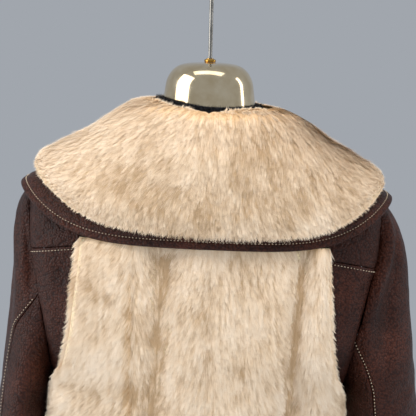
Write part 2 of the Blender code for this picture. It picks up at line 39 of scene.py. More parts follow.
import bpy
import numpy as np
from bpy.props import FloatProperty, FloatVectorProperty, IntProperty, PointerProperty
from mathutils import Matrix, Vector

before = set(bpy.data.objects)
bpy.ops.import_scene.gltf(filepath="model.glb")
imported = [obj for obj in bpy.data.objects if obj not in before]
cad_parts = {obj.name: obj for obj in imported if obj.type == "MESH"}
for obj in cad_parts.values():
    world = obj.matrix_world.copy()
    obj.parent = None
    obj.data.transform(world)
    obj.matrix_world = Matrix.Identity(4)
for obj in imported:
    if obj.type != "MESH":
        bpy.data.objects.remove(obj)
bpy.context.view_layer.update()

MM = 0.001
NAPE = 202.25  # how far the nape is below the hook's crown

# ------------------------------------------------------------------ the cut, in millimetres and degrees
SIDES = (("left", 1), ("right", -1))  # the wearer's sides, with the sign that X has there
LEATHER = 2.4  # the hide's thickness
SEAM = 0.35  # what a seam takes from each edge beside it
BACK_PILE = 22.0  # how far the back's fur stands off its hide
COLLAR_PILE = 25.0
COLLAR_GAP = 2.2  # between the collar's hide and the foot of its pelts
PELT_SHARE = 0.68  # how much of the pile's height is dense underwool
NECKLINE = -20.0
SHOULDER_TIP = -108.0
ARMHOLE_TOP = -112.0
UNDERARM = -372.0
YOKE_SEAM = -175.5  # the seam's height at the centre back
YOKE_DROP = 20.5  # how much lower it runs at the sides
YOKE_SLANT = 3.0  # how much higher it runs on the left and lower on the right
FUR_TOP = -172.0
SIDE_PANEL_TOP = -186.0
SIDE_PANEL_END = -372.0
HEM = -620.0
CUFF = -735.0
LEAN_UP = 0.02  # rise for each millimetre to the wearer's left
LEAN_OUT = 0.02  # shift to the wearer's left for each millimetre down
LEAN_FROM = -110.0
FLATNESS = 0.8  # the power that squares the body's section
FRONT_SEAM = -101.0  # where a sleeve's front seam runs round it
ARM_MIDDLE = (228, -15)  # a vertical line inside a sleeve
COLLAR_TURN = 138.0  # where the collar's rim starts to turn in towards its front end
COLLAR_END = 172.0
FUR_INSET = 16.5  # how far the collar's fur ends from the rim at the centre back
UNDER_COLLAR_INSET = 7.5  # how far the under collar's hide ends from the rim
EDGE_ROLL = 2.6  # the radius of the collar's rolled rim
EDGE_STITCHES = 7.6  # how far the edge's topstitching lies from the rim
YOKE_STITCHES = 4.2  # how far below the yoke's seam its topstitching lies
SLEEVE_STITCHES = 4.5  # how far before a sleeve's back seam its topstitching lies
SLEEVE_STITCH_TOPS = {"left": -258, "right": -290}

BODY_COLUMNS = ("height", "edge_x", "back_y", "front_y")
BODY_ROWS = (
    (-20, 73, 72, -71),
    (-36, 92, 80, -78),
    (-52, 116, 88, -85),
    (-68, 143, 94, -92),
    (-84, 171, 98, -97),
    (-98, 198, 101, -99),
    (-108, 220, 103, -101),
    (-112, 225, 104, -102),
    (-137, 227, 107, -109),
    (-178, 225, 112, -118),
    (-220, 216, 116, -124),
    (-260, 207, 118, -127),
    (-300, 199, 118, -128),
    (-340, 194, 117, -127),
    (-372, 192, 116, -125),
    (-430, 193, 115, -122),
    (-500, 196, 117, -120),
    (-560, 200, 121, -121),
    (-620, 204, 126, -123),
)
SLEEVE_COLUMNS = ("height", "reach", "wrap", "middle", "left_x", "right_x")
SLEEVE_ROWS = (
    (-112, 24, 90, 0, 226.6, 226.6),
    (-118, 31, 90, 0, 235, 235),
    (-126, 38, 90, 0, 240, 241),
    (-137, 45, 90, 0, 246, 249),
    (-155, 54, 90, 0, 250, 258),
    (-178, 62, 90, 0, 251, 265),
    (-220, 74, 90, 0, 252.5, 271),
    (-250, 79, 92, 0, 253.5, 275),
    (-275, 82, 99, -1, 254.5, 279),
    (-300, 84, 112, -2, 256.5, 283),
    (-325, 86, 131, -3, 258, 285),
    (-350, 87, 154, -4, 260, 287),
    (-372, 88, 180, -5, 262, 289),
    (-430, 86, 180, -8, 267, 293),
    (-500, 81, 180, -14, 273, 296),
    (-580, 75, 180, -24, 280, 299),
    (-660, 68, 180, -37, 284, 301),
    (-735, 63, 180, -52, 286, 301),
)
STANDOFF_COLUMNS = ("height", "clear")
STANDOFF_ROWS = ((-112, 0.8), (-350, 0.8), (-372, 1.6), (-430, 4.5), (-600, 8), (-735, 10))
BACK_SEAM_COLUMNS = ("height", "left", "right")
BACK_SEAM_ROWS = (
    (-250, 92, 116),
    (-275, 70, 114),
    (-300, 54, 112),
    (-325, 49, 110),
    (-400, 47, 105),
    (-500, 52, 93),
    (-735, 62, 76),
)
FUR_COLUMNS = ("height", "half_width")
FUR_ROWS = ((-187, 159), (-245, 163), (-290, 166), (-330, 172), (-355, 179), (-372, 186))
COLLAR_COLUMNS = ("share", "side_x", "back_y", "front_y", "side_z", "back_z", "front_z")
COLLAR_ROWS = (
    (0.0, 78, 74, -74, -17, -15, -16),
    (0.2, 104, 97, -98, -30, -20, -26),
    (0.45, 141, 119, -119, -56, -45, -56),
    (0.7, 188, 131, -134, -81, -103, -108),
    (1.0, 243, 138, -143, -113, -177, -186),
)
# How far the fur stands off the hide in the hollow under the armholes, where the hide turns in, by height.
HOLLOW_COLUMNS = ("height", "fill")
HOLLOW_ROWS = ((-310, 0), (-325, 0), (-350, 7), (-372, 28), (-400, 14), (-430, 5), (-465, 0), (-640, 0))

# The back's long folds. Each row is how far to the wearer's left the fold lies at its top and at its bottom,
# its width, how far it stands out, and the heights of its top and its bottom.
BACK_FOLDS = (
    (90, 72, 9, -5, -205, -650),
    (46, 66, 17, -11, -172, -650),
    (-8, -10, 9, -3, -220, -520),
    (-126, -100, 10, -13, -172, -650),
    (116, 118, 26, 5, -190, -650),
    (-146, -140, 18, 5, -172, -650),
    (16, 22, 24, 4, -190, -650),
)
# The way the back's hair lies. Each row is a place across the panel's top and its bottom, and the degrees by
# which the hair there turns from straight down towards the wearer's left.
BACK_FLOW = (
    (190, 200, 56),
    (160, 165, 50),
    (125, 122, 36),
    (93, 75, 26),
    (85, 67, -14),
    (66, 60, -22),
    (50, 66, 4),
    (38, 50, 24),
    (12, 14, 18),
    (-6, -8, 8),
    (-16, -18, -8),
    (-60, -55, -14),
    (-106, -85, -26),
    (-124, -99, -8),
    (-130, -106, 20),
    (-142, -128, 16),
    (-150, -140, -12),
    (-170, -170, -40),
    (-190, -200, -50),
)
# The same on the collar: the side, the angle from the centre back, and the degrees by which the hair turns
# from the way that runs straight from the neck to the rim.
COLLAR_FLOW = (
    ("left", 0, 2),
    ("left", 12, 28),
    ("left", 28, 26),
    ("left", 55, 12),
    ("left", 90, 0),
    ("left", 180, 0),
    ("right", 0, 0),
    ("right", 14, -10),
    ("right", 34, -30),
    ("right", 55, -24),
    ("right", 80, -8),
    ("right", 180, 0),
)
# How far the collar's hair hangs over its leather edge, by angle to the wearer's left of the centre back.
OVERHANG_COLUMNS = ("angle", "length")
OVERHANG_ROWS = (
    (-180, 6),
    (-90, 2),
    (-60, 4),
    (-45, 9),
    (-30, 12.5),
    (-15, 13.5),
    (0, 14),
    (15, 11),
    (30, 6.5),
    (45, 4),
    (60, 3),
    (90, 3),
    (180, 6),
)
# How far the collar's fur ends from the rim, and how much lower it lies along the neck, by the same angle.
BORDER_COLUMNS = ("angle", "inset", "dip")
BORDER_ROWS = (
    (-180, 17, 0),
    (-140, 18, 3),
    (-90, 18, 5),
    (-60, 17, 7),
    (-30, 16.5, 13),
    (-12, 16.5, 18),
    (0, 16.5, 21),
    (12, 16.5, 18),
    (30, 17, 13),
    (46, 21, 3),
    (60, 24.5, 0),
    (90, 24.5, 0),
    (130, 20, 0),
    (180, 17, 0),
)
# A sleeve's long folds. Each row is the side, where the fold lies round the sleeve at its top and at its
# bottom, its width in degrees, how far it stands out, and the heights of its top and its bottom.
SLEEVE_FOLDS = (
    ("left", 34, 60, 14, 5, -130, -330),
    ("left", 74, 84, 9, -4.5, -140, -300),
    ("left", 12, 30, 11, -3, -170, -330),
    ("left", 10, 30, 16, -3, -420, -640),
    ("left", -50, -30, 14, 4, -380, -600),
    ("right", 56, 106, 9, 8, -122, -345),
    ("right", 34, 84, 9, -6, -130, -360),
    ("right", 10, 50, 14, 3, -150, -400),
    ("right", 15, 40, 20, 4, -330, -560),
    ("right", -60, -30, 16, -4, -360, -640),
)


# ------------------------------------------------------------------ what a user would change
def linear(code):
    """An sRGB hex colour as linear red, green, blue and alpha."""
    parts = [int(code[i : i + 2], 16) / 255 for i in (1, 3, 5)]
    return (*[c / 12.92 if c <= 0.04045 else ((c + 0.055) / 1.055) ** 2.4 for c in parts], 1.0)


class JacketSettings(bpy.types.PropertyGroup):
    """What a user would change about the jacket"""

    leather: FloatVectorProperty(
        name="Leather",
        description="Colour of the hide",
        subtype="COLOR",
        size=3,
        default=linear("#3A1E15")[:3],
    )
    fur_tip: FloatVectorProperty(
        name="Fur tips",
        description="Colour of the hair's ends",
        subtype="COLOR",
        size=3,
        default=linear("#F9EBD7")[:3],
    )
    fur_root: FloatVectorProperty(
        name="Fur roots",
        description="Colour of the hair's roots",
        subtype="COLOR",
        size=3,
        default=linear("#E5C8A4")[:3],
    )
    collar_hairs: IntProperty(
        name="Collar hairs",
        description="Hairs on each half of the collar",
        default=180000,
        min=1000,
        max=195000,
    )
    back_hairs: IntProperty(
        name="Back hairs",
        description="Hairs on the upper and again on the lower part of the back",
        default=176000,
        min=1000,
        max=195000,
    )
    hair_width: FloatProperty(
        name="Hair width",
        description="Width of a drawn hair at its root, which stands for several real ones",
        default=0.75 * MM,
        unit="LENGTH",
        min=0.1 * MM,
    )
    stitch: FloatProperty(
        name="Stitch",
        description="Length of one topstitch with its gap",
        default=4.4 * MM,
        unit="LENGTH",
        min=1 * MM,
    )


# ------------------------------------------------------------------ tables, curves and noise
def column(rows, columns, name):
    """One column of a table, as an array."""
    return np.array([row[columns.index(name)] for row in rows], float)


def smooth_curve(places, values):
    """A function through the table's points that bends smoothly and never overshoots them."""
    order = np.argsort(places)
    x, y = places[order], values[order]
    slope = np.diff(y) / np.diff(x)
    both = slope[:-1] * slope[1:]
    inner = np.where(both > 0, 2 * both / (slope[:-1] + slope[1:] + (both <= 0)), 0)
    tangent = np.concatenate([slope[:1], inner, slope[-1:]])

    def value(at):
        at = np.clip(at, x[0], x[-1])
        i = np.clip(np.searchsorted(x, at, side="right") - 1, 0, len(x) - 2)
        step = x[i + 1] - x[i]
        s = (at - x[i]) / step
        start = (1 + 2 * s) * (1 - s) ** 2 * y[i] + s * (1 - s) ** 2 * step * tangent[i]
        return start + s * s * (3 - 2 * s) * y[i + 1] + s * s * (s - 1) * step * tangent[i + 1]

    return value


def table(rows, columns, name, place="height"):
    """One column of a table, as a smooth function of another."""
    return smooth_curve(column(rows, columns, place), column(rows, columns, name))


def smooth_step(s):
    """0 up to 0 and 1 from 1 on, with a smooth rise between them."""
    s = np.clip(s, 0, 1)
    return s * s * (3 - 2 * s)


def rounded(distance, radius):
    """0 at an edge and 1 a radius in from it, along a quarter circle."""
    s = np.clip(distance / radius, 0, 1)
    return np.sqrt(1 - (1 - s) ** 2)


def ridge(at, middle, width):
    """1 at the middle of a soft ridge, and soon 0 on both sides of it."""
    return np.exp(-(((at - middle) / width) ** 2))


def noise(u, v, size, seed):
    """Smooth noise from -1 to 1 over a surface, with lumps of the given size in millimetres."""
    lattice = np.random.default_rng(seed).uniform(-1, 1, (64, 64))
    a, b = np.asarray(u) / size, np.asarray(v) / size
    i, j = np.floor(a).astype(int), np.floor(b).astype(int)
    s, t = smooth_step(a - i), smooth_step(b - j)
    corner = [lattice[(i + di) % 64, (j + dj) % 64] for di in (0, 1) for dj in (0, 1)]
    return (corner[0] * (1 - t) + corner[1] * t) * (1 - s) + (corner[2] * (1 - t) + corner[3] * t) * s


def unit(vectors):
    """The vectors, each made 1 long."""
    return vectors / np.maximum(np.linalg.norm(vectors, axis=-1, keepdims=True), 1e-9)


def stack(x, y, z):
    """Points from their three coordinates."""
    return np.stack(np.broadcast_arrays(x, y, z), axis=-1).astype(float)


def lean(points):
    """The garment hangs a little askew: lower on its right, and further to its left towards the hem."""
    x, y, z = np.moveaxis(np.asarray(points, float), -1, 0)
    return stack(x + LEAN_OUT * np.maximum(LEAN_FROM - z, 0), y, z + LEAN_UP * x)


def place(points):
    """The garment's points in the frame, in metres."""
    return (lean(points) - [0, 0, NAPE]) * MM


# ------------------------------------------------------------------ the garment's surfaces
edge_x = table(BODY_ROWS, BODY_COLUMNS, "edge_x")
back_y = table(BODY_ROWS, BODY_COLUMNS, "back_y")
front_y = table(BODY_ROWS, BODY_COLUMNS, "front_y")
reach = table(SLEEVE_ROWS, SLEEVE_COLUMNS, "reach")
wrap = table(SLEEVE_ROWS, SLEEVE_COLUMNS, "wrap")
middle_y = table(SLEEVE_ROWS, SLEEVE_COLUMNS, "middle")
standoff = table(STANDOFF_ROWS, STANDOFF_COLUMNS, "clear")
fur_half_width = table(FUR_ROWS, FUR_COLUMNS, "half_width")
overhang = table(OVERHANG_ROWS, OVERHANG_COLUMNS, "length", "angle")
hollow = table(HOLLOW_ROWS, HOLLOW_COLUMNS, "fill")
fur_inset = table(BORDER_ROWS, BORDER_COLUMNS, "inset", "angle")
neck_dip = table(BORDER_ROWS, BORDER_COLUMNS, "dip", "angle")
collar_curves = {name: table(COLLAR_ROWS, COLLAR_COLUMNS, name, "share") for name in COLLAR_COLUMNS[1:]}


def armhole_y(z):
    """How far the armhole's edge lies from the sleeve's middle."""
    opened = np.maximum(reach(z) * np.sin(np.radians(wrap(z))), 0)
    return np.where(z > ARMHOLE_TOP, reach(ARMHOLE_TOP) * smooth_step((SHOULDER_TIP - z) / 4), opened)


def back_surface(angle, z):
    """A point of the back: angle is -90 at the right edge, 0 at the centre back and 90 at the left edge."""
    a = np.radians(angle)
    side = middle_y(z) + armhole_y(z) + SEAM
    depth = (back_y(z) - side) * np.abs(np.cos(a)) ** FLATNESS
    return stack(edge_x(z) * np.sin(a), side + depth, z)


def fur_surface(angle, z):
    """The back as its fur follows it, without the hollow that the hide has under the armholes."""
    turned_in = 1 - np.abs(np.cos(np.radians(angle))) ** FLATNESS
    filled = hollow(z) * turned_in * smooth_step((92 - np.abs(angle)) / 34)
    return back_surface(angle, z) + stack(0 * filled, filled, 0 * filled)


def front_surface(angle, z):
    """A point of the front, with the same angles."""
    a = np.radians(angle)
    side = middle_y(z) - armhole_y(z) - SEAM
    depth = (front_y(z) - side) * np.abs(np.cos(a)) ** FLATNESS
    return stack(edge_x(z) * np.sin(a), side + depth, z)


def sleeve_surface(side):
    """The surface of one sleeve: angle is 0 at its outermost point and positive towards the back."""
    sign = 1 if side == "left" else -1
    outer_x = table(SLEEVE_ROWS, SLEEVE_COLUMNS, f"{side}_x")

    def surface(angle, z):
        a, turned = np.radians(angle), np.radians(wrap(z))
        inner = edge_x(z) + standoff(z)
        half = (outer_x(z) - inner) / (1 - np.cos(turned))
        bulge = sleeve_folds(side, angle, z)
        x = outer_x(z) - half + (half + bulge) * np.cos(a)
        return stack(sign * x, middle_y(z) + (reach(z) + bulge) * np.sin(a), z)

    return surface


def sleeve_folds(side, angle, z):
    """How far a sleeve's long folds move it outwards."""
    moved = np.zeros(np.broadcast(angle, z).shape)
    for name, top_angle, bottom_angle, width, depth, top, bottom in SLEEVE_FOLDS:
        if name == side:
            along = np.clip((top - z) / (top - bottom), 0, 1)
            middle = top_angle + (bottom_angle - top_angle) * along
            fade = smooth_step((top - z) / 60) * smooth_step((z - bottom) / 60)
            moved += depth * fade * ridge(angle, middle, width)
    return moved


def collar_surface(angle, share):
    """A point of the collar's hide: angle from the centre back, share of the way from the neck to the rim."""
    a = np.radians(angle)
    turn = smooth_step((np.abs(angle) - COLLAR_TURN) / (COLLAR_END - COLLAR_TURN))
    s = share * (1 - 0.5 * turn**1.5)
    c = {name: curve(s) for name, curve in collar_curves.items()}
    back = np.cos(a) > 0
    depth = np.where(back, c["back_y"], -c["front_y"])
    low = np.where(back, c["back_z"], c["front_z"])
    z = low + (c["side_z"] - low) * np.abs(np.sin(a)) ** 4.5
    squared = np.sign(np.cos(a)) * np.abs(np.cos(a)) ** (1 - 0.38 * s)
    return stack(c["side_x"] * np.sin(a), depth * squared, z)


def collar_normal(angle, share):
    """Unit normals of the collar, pointing up and out."""
    angle = np.clip(angle, -COLLAR_END + 1, COLLAR_END - 1)
    across = collar_surface(angle + 0.5, share) - collar_surface(angle - 0.5, share)
    before, after = np.maximum(share - 0.02, 0), np.minimum(share + 0.02, 1)
    along = collar_surface(angle, after) - collar_surface(angle, before)
    normal = unit(np.cross(across, along))
    return normal * np.where(normal[..., 2:] < 0, -1, 1)


def rim_share(angle, distance):
    """The share of the way to the collar's rim at which that many millimetres are left."""
    neck, crown, rim = (collar_surface(angle, np.full(np.shape(angle), s)) for s in (0.0, 0.45, 1.0))
    length = np.linalg.norm(rim - crown, axis=-1) + np.linalg.norm(crown - neck, axis=-1)
    return 1 - distance / length


def outward(surface, u, v, limit=90.0, centre=(0.0, 0.0)):
    """Unit normals of a surface of two parameters, pointing away from a vertical line through the centre."""
    du, dv = 1.0, 2.0
    u = np.clip(u, -limit + 3 * du, limit - 3 * du)
    across = surface(u + du, v) - surface(u - du, v)
    along = surface(u, v + dv) - surface(u, v - dv)
    normal = unit(np.cross(across, along))
    away = surface(u, v)[..., :2] - np.array(centre)
    return normal * np.sign((normal[..., :2] * away).sum())


def angle_at(x, z):
    """The angle at which the back or front is x from the middle."""
    return np.degrees(np.arcsin(np.clip(x / edge_x(z), -1, 1)))


def yoke_seam(angle):
    """Height of the seam under the yoke at an angle of the back."""
    across = np.sin(np.radians(angle))
    return YOKE_SEAM + YOKE_SLANT * across - YOKE_DROP * across**2


# ------------------------------------------------------------------ meshes
def link(name, mesh, material, *replaced):
    """Puts a mesh in the scene as a piece of the one body, in place of the nodes that it replaces."""
    mesh.materials.append(material)
    piece = bpy.data.objects.new(name, mesh)
    bpy.context.scene.collection.objects.link(piece)
    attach(piece, "root")
    if replaced:
        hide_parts(*replaced)
    return piece


def build_mesh(name, points, faces, sharp=math.radians(50)):
    """A smooth mesh of points in the garment's millimetres, with its hard edges kept."""
    mesh = bpy.data.meshes.new(name)
    mesh.from_pydata(place(points).tolist(), [], faces)
    mesh.shade_smooth()
    mesh.set_sharp_from_angle(angle=sharp)
    return mesh


def grid_faces(rows, cols, first=0):
    """The quads of a grid whose points are numbered row by row."""
    r, c = np.meshgrid(np.arange(rows - 1), np.arange(cols - 1), indexing="ij")
    a = r * cols + c
    return (np.stack([a, a + 1, a + 1 + cols, a + cols], axis=-1).reshape(-1, 4) + first).tolist()


def shell_mesh(name, outside, inside):
    """A closed wall between two grids of the same size, with its rim, facing outwards."""
    rows, cols = outside.shape[:2]
    count = rows * cols
    ring = list(range(cols)) + [r * cols + cols - 1 for r in range(1, rows)]
    ring += [(rows - 1) * cols + c for c in range(cols - 2, -1, -1)]
    ring += [r * cols for r in range(rows - 2, 0, -1)]
    after = ring[1:] + ring[:1]
    faces = grid_faces(rows, cols)
    faces += [face[::-1] for face in grid_faces(rows, cols, count)]
    faces += [(b, a, a + count, b + count) for a, b in zip(ring, after)]
    across, down = outside[1, 1] - outside[1, 0], outside[1, 0] - outside[0, 0]
    if np.dot(np.cross(across, -down), (outside - inside)[1, 1]) > 0:
        faces = [face[::-1] for face in faces]
    return build_mesh(name, np.concatenate([outside.reshape(-1, 3), inside.reshape(-1, 3)]), faces)


def cloth_uv(mesh, outside):
    """A UV map that lays the grid out flat, a metre to a unit, so a pattern follows the cloth."""
    cols = outside.shape[1]
    step_across = np.linalg.norm(np.diff(outside, axis=1, prepend=outside[:, :1]), axis=-1)
    step_down = np.linalg.norm(np.diff(outside, axis=0, prepend=outside[:1]), axis=-1)
    u, v = np.cumsum(step_across, axis=1), np.cumsum(step_down, axis=0)
    u = u - u[:, cols // 2 : cols // 2 + 1]
    flat = np.stack([u, -v], axis=-1).reshape(-1, 2) * MM
    flat = np.concatenate([flat, flat + [0, -1.0]])
    corners = np.empty(len(mesh.loops), dtype=np.int32)
    mesh.loops.foreach_get("vertex_index", corners)
    layer = mesh.uv_layers.new(name="Cloth")
    layer.uv.foreach_set("vector", flat[corners].ravel())


def edge_distances(points):
    """How far each point of a grid lies from its left, right, top and bottom edges, along the surface."""
    across = np.cumsum(np.linalg.norm(np.diff(points, axis=1, prepend=points[:, :1]), axis=-1), axis=1)
    down = np.cumsum(np.linalg.norm(np.diff(points, axis=0, prepend=points[:1]), axis=-1), axis=0)
    return across, across[:, -1:] - across, down, down[-1:] - down


def fine(count, edge=0.004):
    """Shares from 0 to 1 that lie closer together near both ends."""
    inner = np.linspace(0.018, 0.982, count - 6)
    return np.concatenate([[0, edge, 2.2 * edge], inner, [1 - 2.2 * edge, 1 - edge, 1]])


# The relief of a hide panel, in millimetres: the height and size of its wrinkles, the ridge beside a seam
# (height, distance from the edge, width), the edge that turns down into the seam (depth, width) and the
# pucker along it (height, distance from the edge, width, length).
WRINKLES = ((0.35, 21), (0.22, 9))
SEAM_RIDGE = (0.5, 5.5, 3)
EDGE_TURN = (0.9, 2.2)
PUCKER = (0.16, 4, 4, 1.5)


def crease_relief(name, angles, z, radius):
    """How far a panel's creases move it outwards: each fades in and out along a slightly bowed line."""
    relief = np.zeros(angles.shape)
    for piece, start_angle, start_z, end_angle, end_z, width, depth in CREASES:
        if piece != name:
            continue
        along_z = end_z - start_z
        along_u = np.radians(end_angle - start_angle) * radius
        from_u, from_z = np.radians(angles - start_angle) * radius, z - start_z
        length2 = along_u**2 + along_z**2 + 1e-6
        s = (from_u * along_u + from_z * along_z) / length2
        bow = 0.06 * np.sqrt(length2) * np.sin(np.pi * np.clip(s, 0, 1))
        off = (from_u * along_z - from_z * along_u) / np.sqrt(length2) + bow
        fade = smooth_step((s + 0.12) / 0.3) * smooth_step((1.12 - s) / 0.3)
        relief += depth * fade * ridge(off, 0, width)
    return relief


def leather_panel(name, surface, angles, z, hide, seed, thickness=LEATHER, **facing):
    """A panel of hide as a thin shell on its solid's form, with turned edges, creases and fine wrinkles."""
    angles, z = np.broadcast_arrays(angles, z)
    base = surface(angles, z)
    normal = outward(surface, angles, z, **facing)
    radius = np.linalg.norm(surface(angles + 1, z) - surface(angles - 1, z), axis=-1) / np.radians(2)
    u = np.radians(angles) * radius
    relief = crease_relief(name, angles, z, radius)
    for number, (height, size) in enumerate(WRINKLES):
        relief += height * noise(u + 300 * number, z, size, seed + number)
    near = np.minimum.reduce(edge_distances(base))
    height, middle, width = SEAM_RIDGE
    relief += height * ridge(near, middle, width)
    depth, width = EDGE_TURN
    relief -= depth * (1 - rounded(near, width))
    height, middle, width, length = PUCKER
    pucker = height * ridge(near, middle, width) * np.sin((u + 0.6 * z) / length)
    outside = base + (relief + pucker)[..., None] * normal
    inside = base + (0.35 * np.minimum(relief, 0) - thickness)[..., None] * normal
    mesh = shell_mesh(name + "_hide", outside, inside)
    cloth_uv(mesh, base)
    return link(name + "_hide", mesh, hide, name)


def hairs(name, roots, tips, normal, width, tone, material):
    """A piece of pile: each hair is one long, thin triangle, rounded across by its normals.

    The UV map runs across with the hair's tone and up with its length, as the material's colours do."""
    count = len(roots)
    along = unit(tips - roots)
    side = unit(np.cross(along, normal))
    up = unit(np.cross(side, along))
    half = (width / 2)[:, None] * side
    points = np.stack([roots - half, roots + half, tips], axis=1)
    mesh = bpy.data.meshes.new(name)
    mesh.vertices.add(count * 3)
    mesh.vertices.foreach_set("co", place(points.reshape(-1, 3)).ravel())
    mesh.loops.add(count * 3)
    mesh.loops.foreach_set("vertex_index", np.arange(count * 3, dtype=np.int32))
    mesh.polygons.add(count)
    mesh.polygons.foreach_set("loop_start", np.arange(count, dtype=np.int32) * 3)
    mesh.update(calc_edges=True)
    for label, values in (("along", np.tile([0.0, 0.0, 1.0], count)), ("tone", np.repeat(tone, 3))):
        layer = mesh.attributes.new(name=label, type="FLOAT", domain="POINT")
        layer.data.foreach_set("value", values.astype(np.float32))
    across = 0.04 + 0.92 * tone[:, None] + np.array([-0.02, 0.02, 0.0])
    flat = np.stack([across, np.broadcast_to([0.02, 0.02, 0.98], across.shape)], axis=-1)
    mesh.uv_layers.new(name="OFBake").uv.foreach_set("vector", flat.ravel())
    round_across = np.array([-0.25, 0.25, 0.0])[None, :, None] * side[:, None, :]
    soft = (0.75 * normal + 0.25 * up)[:, None, :] + round_across
    mesh.shade_smooth()
    mesh.normals_split_custom_set_from_vertices(unit(soft).reshape(-1, 3).tolist())
    return link(name, mesh, material)


def gather(points, size, seed):
    """Numbers the tufts that hairs belong to, each about that many millimetres across, with uneven bounds."""
    x, y, z = points.T
    wobble = np.stack([noise(x + y, z + y, 1.7 * size, seed + k) for k in range(3)], axis=-1)
    cells = np.floor(points / size + 0.55 * wobble).astype(int) + 500
    return np.unique(cells @ [1, 1000, 1000000], return_inverse=True)[1]


def tuft_mean(values, group):
    """Each hair's tuft's mean of some values."""
    count = np.bincount(group)
    return np.stack([np.bincount(group, column) / count for column in values.T], axis=-1)[group]


# The pile's tufts: their size in millimetres, how far their hairs close together, and how far the tufts and
# the single hairs end from where they are combed to.
TUFT_SIZE = 3.0
TUFT_CLOSE = 0.3
TUFT_SPREAD = 0.7
HAIR_SPREAD = 0.7


def pile_hairs(name, base, normal, crown, lift, shade, settings, material, seed):
    """Pile whose hairs rise from a share of the way up (lift) to the pile's crown and close into tufts.

    shade darkens or lightens the hairs of a place."""
    rng = np.random.default_rng(seed)
    count = len(base)
    group = gather(base, TUFT_SIZE, seed)
    tufts = group.max() + 1
    rise = crown - base
    length = (1 - 0.10 * rng.random(tufts))[group] * (1 - 0.12 * rng.random(count) ** 2)
    tips = base + length[:, None] * rise
    drawn = (TUFT_CLOSE * (0.4 + 1.2 * rng.random(tufts)))[group][:, None]
    tips += drawn * (tuft_mean(tips, group) - tips)
    tips += rng.normal(0, TUFT_SPREAD, (tufts, 3))[group] + rng.normal(0, HAIR_SPREAD, (count, 3))
    up = np.sum(rise * normal, axis=-1, keepdims=True)
    roots = base + lift * up * normal
    tone = 0.58 + 0.09 * rng.standard_normal(tufts)[group] + 0.12 * rng.standard_normal(count) + shade
    wide = settings.hair_width / MM * (0.7 + 0.6 * rng.random(count))
    return hairs(name, roots, tips, normal, wide, np.clip(tone, 0, 1), material)


# ------------------------------------------------------------------ materials
def add_node(tree, kind, inputs=None, stops=None, **settings):
    """Adds a node, sets or links its inputs, and gives a ramp its stops."""
    node = tree.nodes.new(kind)
    for name, value in settings.items():
        setattr(node, name, value)
    for name, value in (inputs or {}).items():
        if isinstance(value, bpy.types.NodeSocket):
            tree.links.new(value, node.inputs[name])
        else:
            node.inputs[name].default_value = value
    if stops:
        ramp = node.color_ramp.elements
        while len(ramp) < len(stops):
            ramp.new(0.5)
        for element, (position, colour) in zip(ramp, stops):
            element.position, element.color = position, colour
    return node


def new_material(name):
    """An empty material and its node tree, with a Principled shader joined to the output."""
    material = bpy.data.materials.new(name)
    material.use_nodes = True
    tree = material.node_tree
    tree.nodes.clear()
    shader = add_node(tree, "ShaderNodeBsdfPrincipled")
    add_node(tree, "ShaderNodeOutputMaterial", {"Surface": shader.outputs["BSDF"]})
    return material, tree, shader


def scaled(colour, factor):
    """A linear colour made lighter or darker, with its alpha."""
    return (*[min(1, c * factor) for c in colour], 1)


MULTIPLY = {"data_type": "RGBA", "blend_type": "MULTIPLY"}


def pebbled_cowhide(name, settings):
    """Drum-dyed and waxed cowhide: brown and softly glossy, with pebbles and cloudy dye, and painted light on
    the pebbles' crowns and painted shade in the valleys round them.
    """
    material, tree, shader = new_material(name)
    where = add_node(tree, "ShaderNodeTexCoord").outputs["Object"]
    # The real pebbles are about 1 mm, drawn 3 mm across so that they show.
    pebble_inputs = {"Vector": where, "Scale": 1 / (3 * MM), "Randomness": 0.9}
    pebble = add_node(tree, "ShaderNodeTexVoronoi", pebble_inputs).outputs["Distance"]
    # The wrinkles lie 7 mm apart and the clouds of dye 60 mm, as on the real hide.
    crease_inputs = {"Vector": where, "Scale": 1 / (7 * MM), "Detail": 6, "Roughness": 0.62}
    crease = add_node(tree, "ShaderNodeTexNoise", crease_inputs).outputs["Fac"]
    cloud = add_node(tree, "ShaderNodeTexNoise", {"Vector": where, "Scale": 1 / (60 * MM), "Detail": 3})
    brown = settings.leather
    stops = [(0.30, scaled(brown, 0.6)), (0.52, scaled(brown, 1)), (0.74, scaled(brown, 1.7))]
    dye = add_node(tree, "ShaderNodeValToRGB", {"Fac": cloud.outputs["Fac"]}, stops=stops)
    # Painted light on a pebble's crown and painted shade in the valleys round it, as factors on the dye.
    stops = [(0.0, (1.25, 1.2, 1.2, 1)), (0.4, (0.95, 0.92, 0.92, 1)), (0.75, (0.42, 0.37, 0.37, 1))]
    pebble_light_and_shade = add_node(tree, "ShaderNodeValToRGB", {"Fac": pebble}, stops=stops)
    colours = {0: 1.0, 6: dye.outputs["Color"], 7: pebble_light_and_shade.outputs["Color"]}
    colour = add_node(tree, "ShaderNodeMix", colours, **MULTIPLY)
    gloss = {"Value": crease, "From Min": 0.3, "From Max": 0.7, "To Min": 0.36, "To Max": 0.60}
    rough = add_node(tree, "ShaderNodeMapRange", gloss)
    domes = add_node(tree, "ShaderNodeMath", {0: pebble, 1: -0.6}, operation="MULTIPLY")
    height = add_node(tree, "ShaderNodeMath", {0: domes.outputs[0], 1: crease}, operation="ADD")
    relief = {"Height": height.outputs[0], "Strength": 1.0, "Distance": 2.2 * MM}
    bump = add_node(tree, "ShaderNodeBump", relief)
    tree.links.new(colour.outputs[2], shader.inputs["Base Color"])
    tree.links.new(rough.outputs["Result"], shader.inputs["Roughness"])
    tree.links.new(bump.outputs["Normal"], shader.inputs["Normal"])
    shader.inputs["Specular IOR Level"].default_value = 0.25
    return material


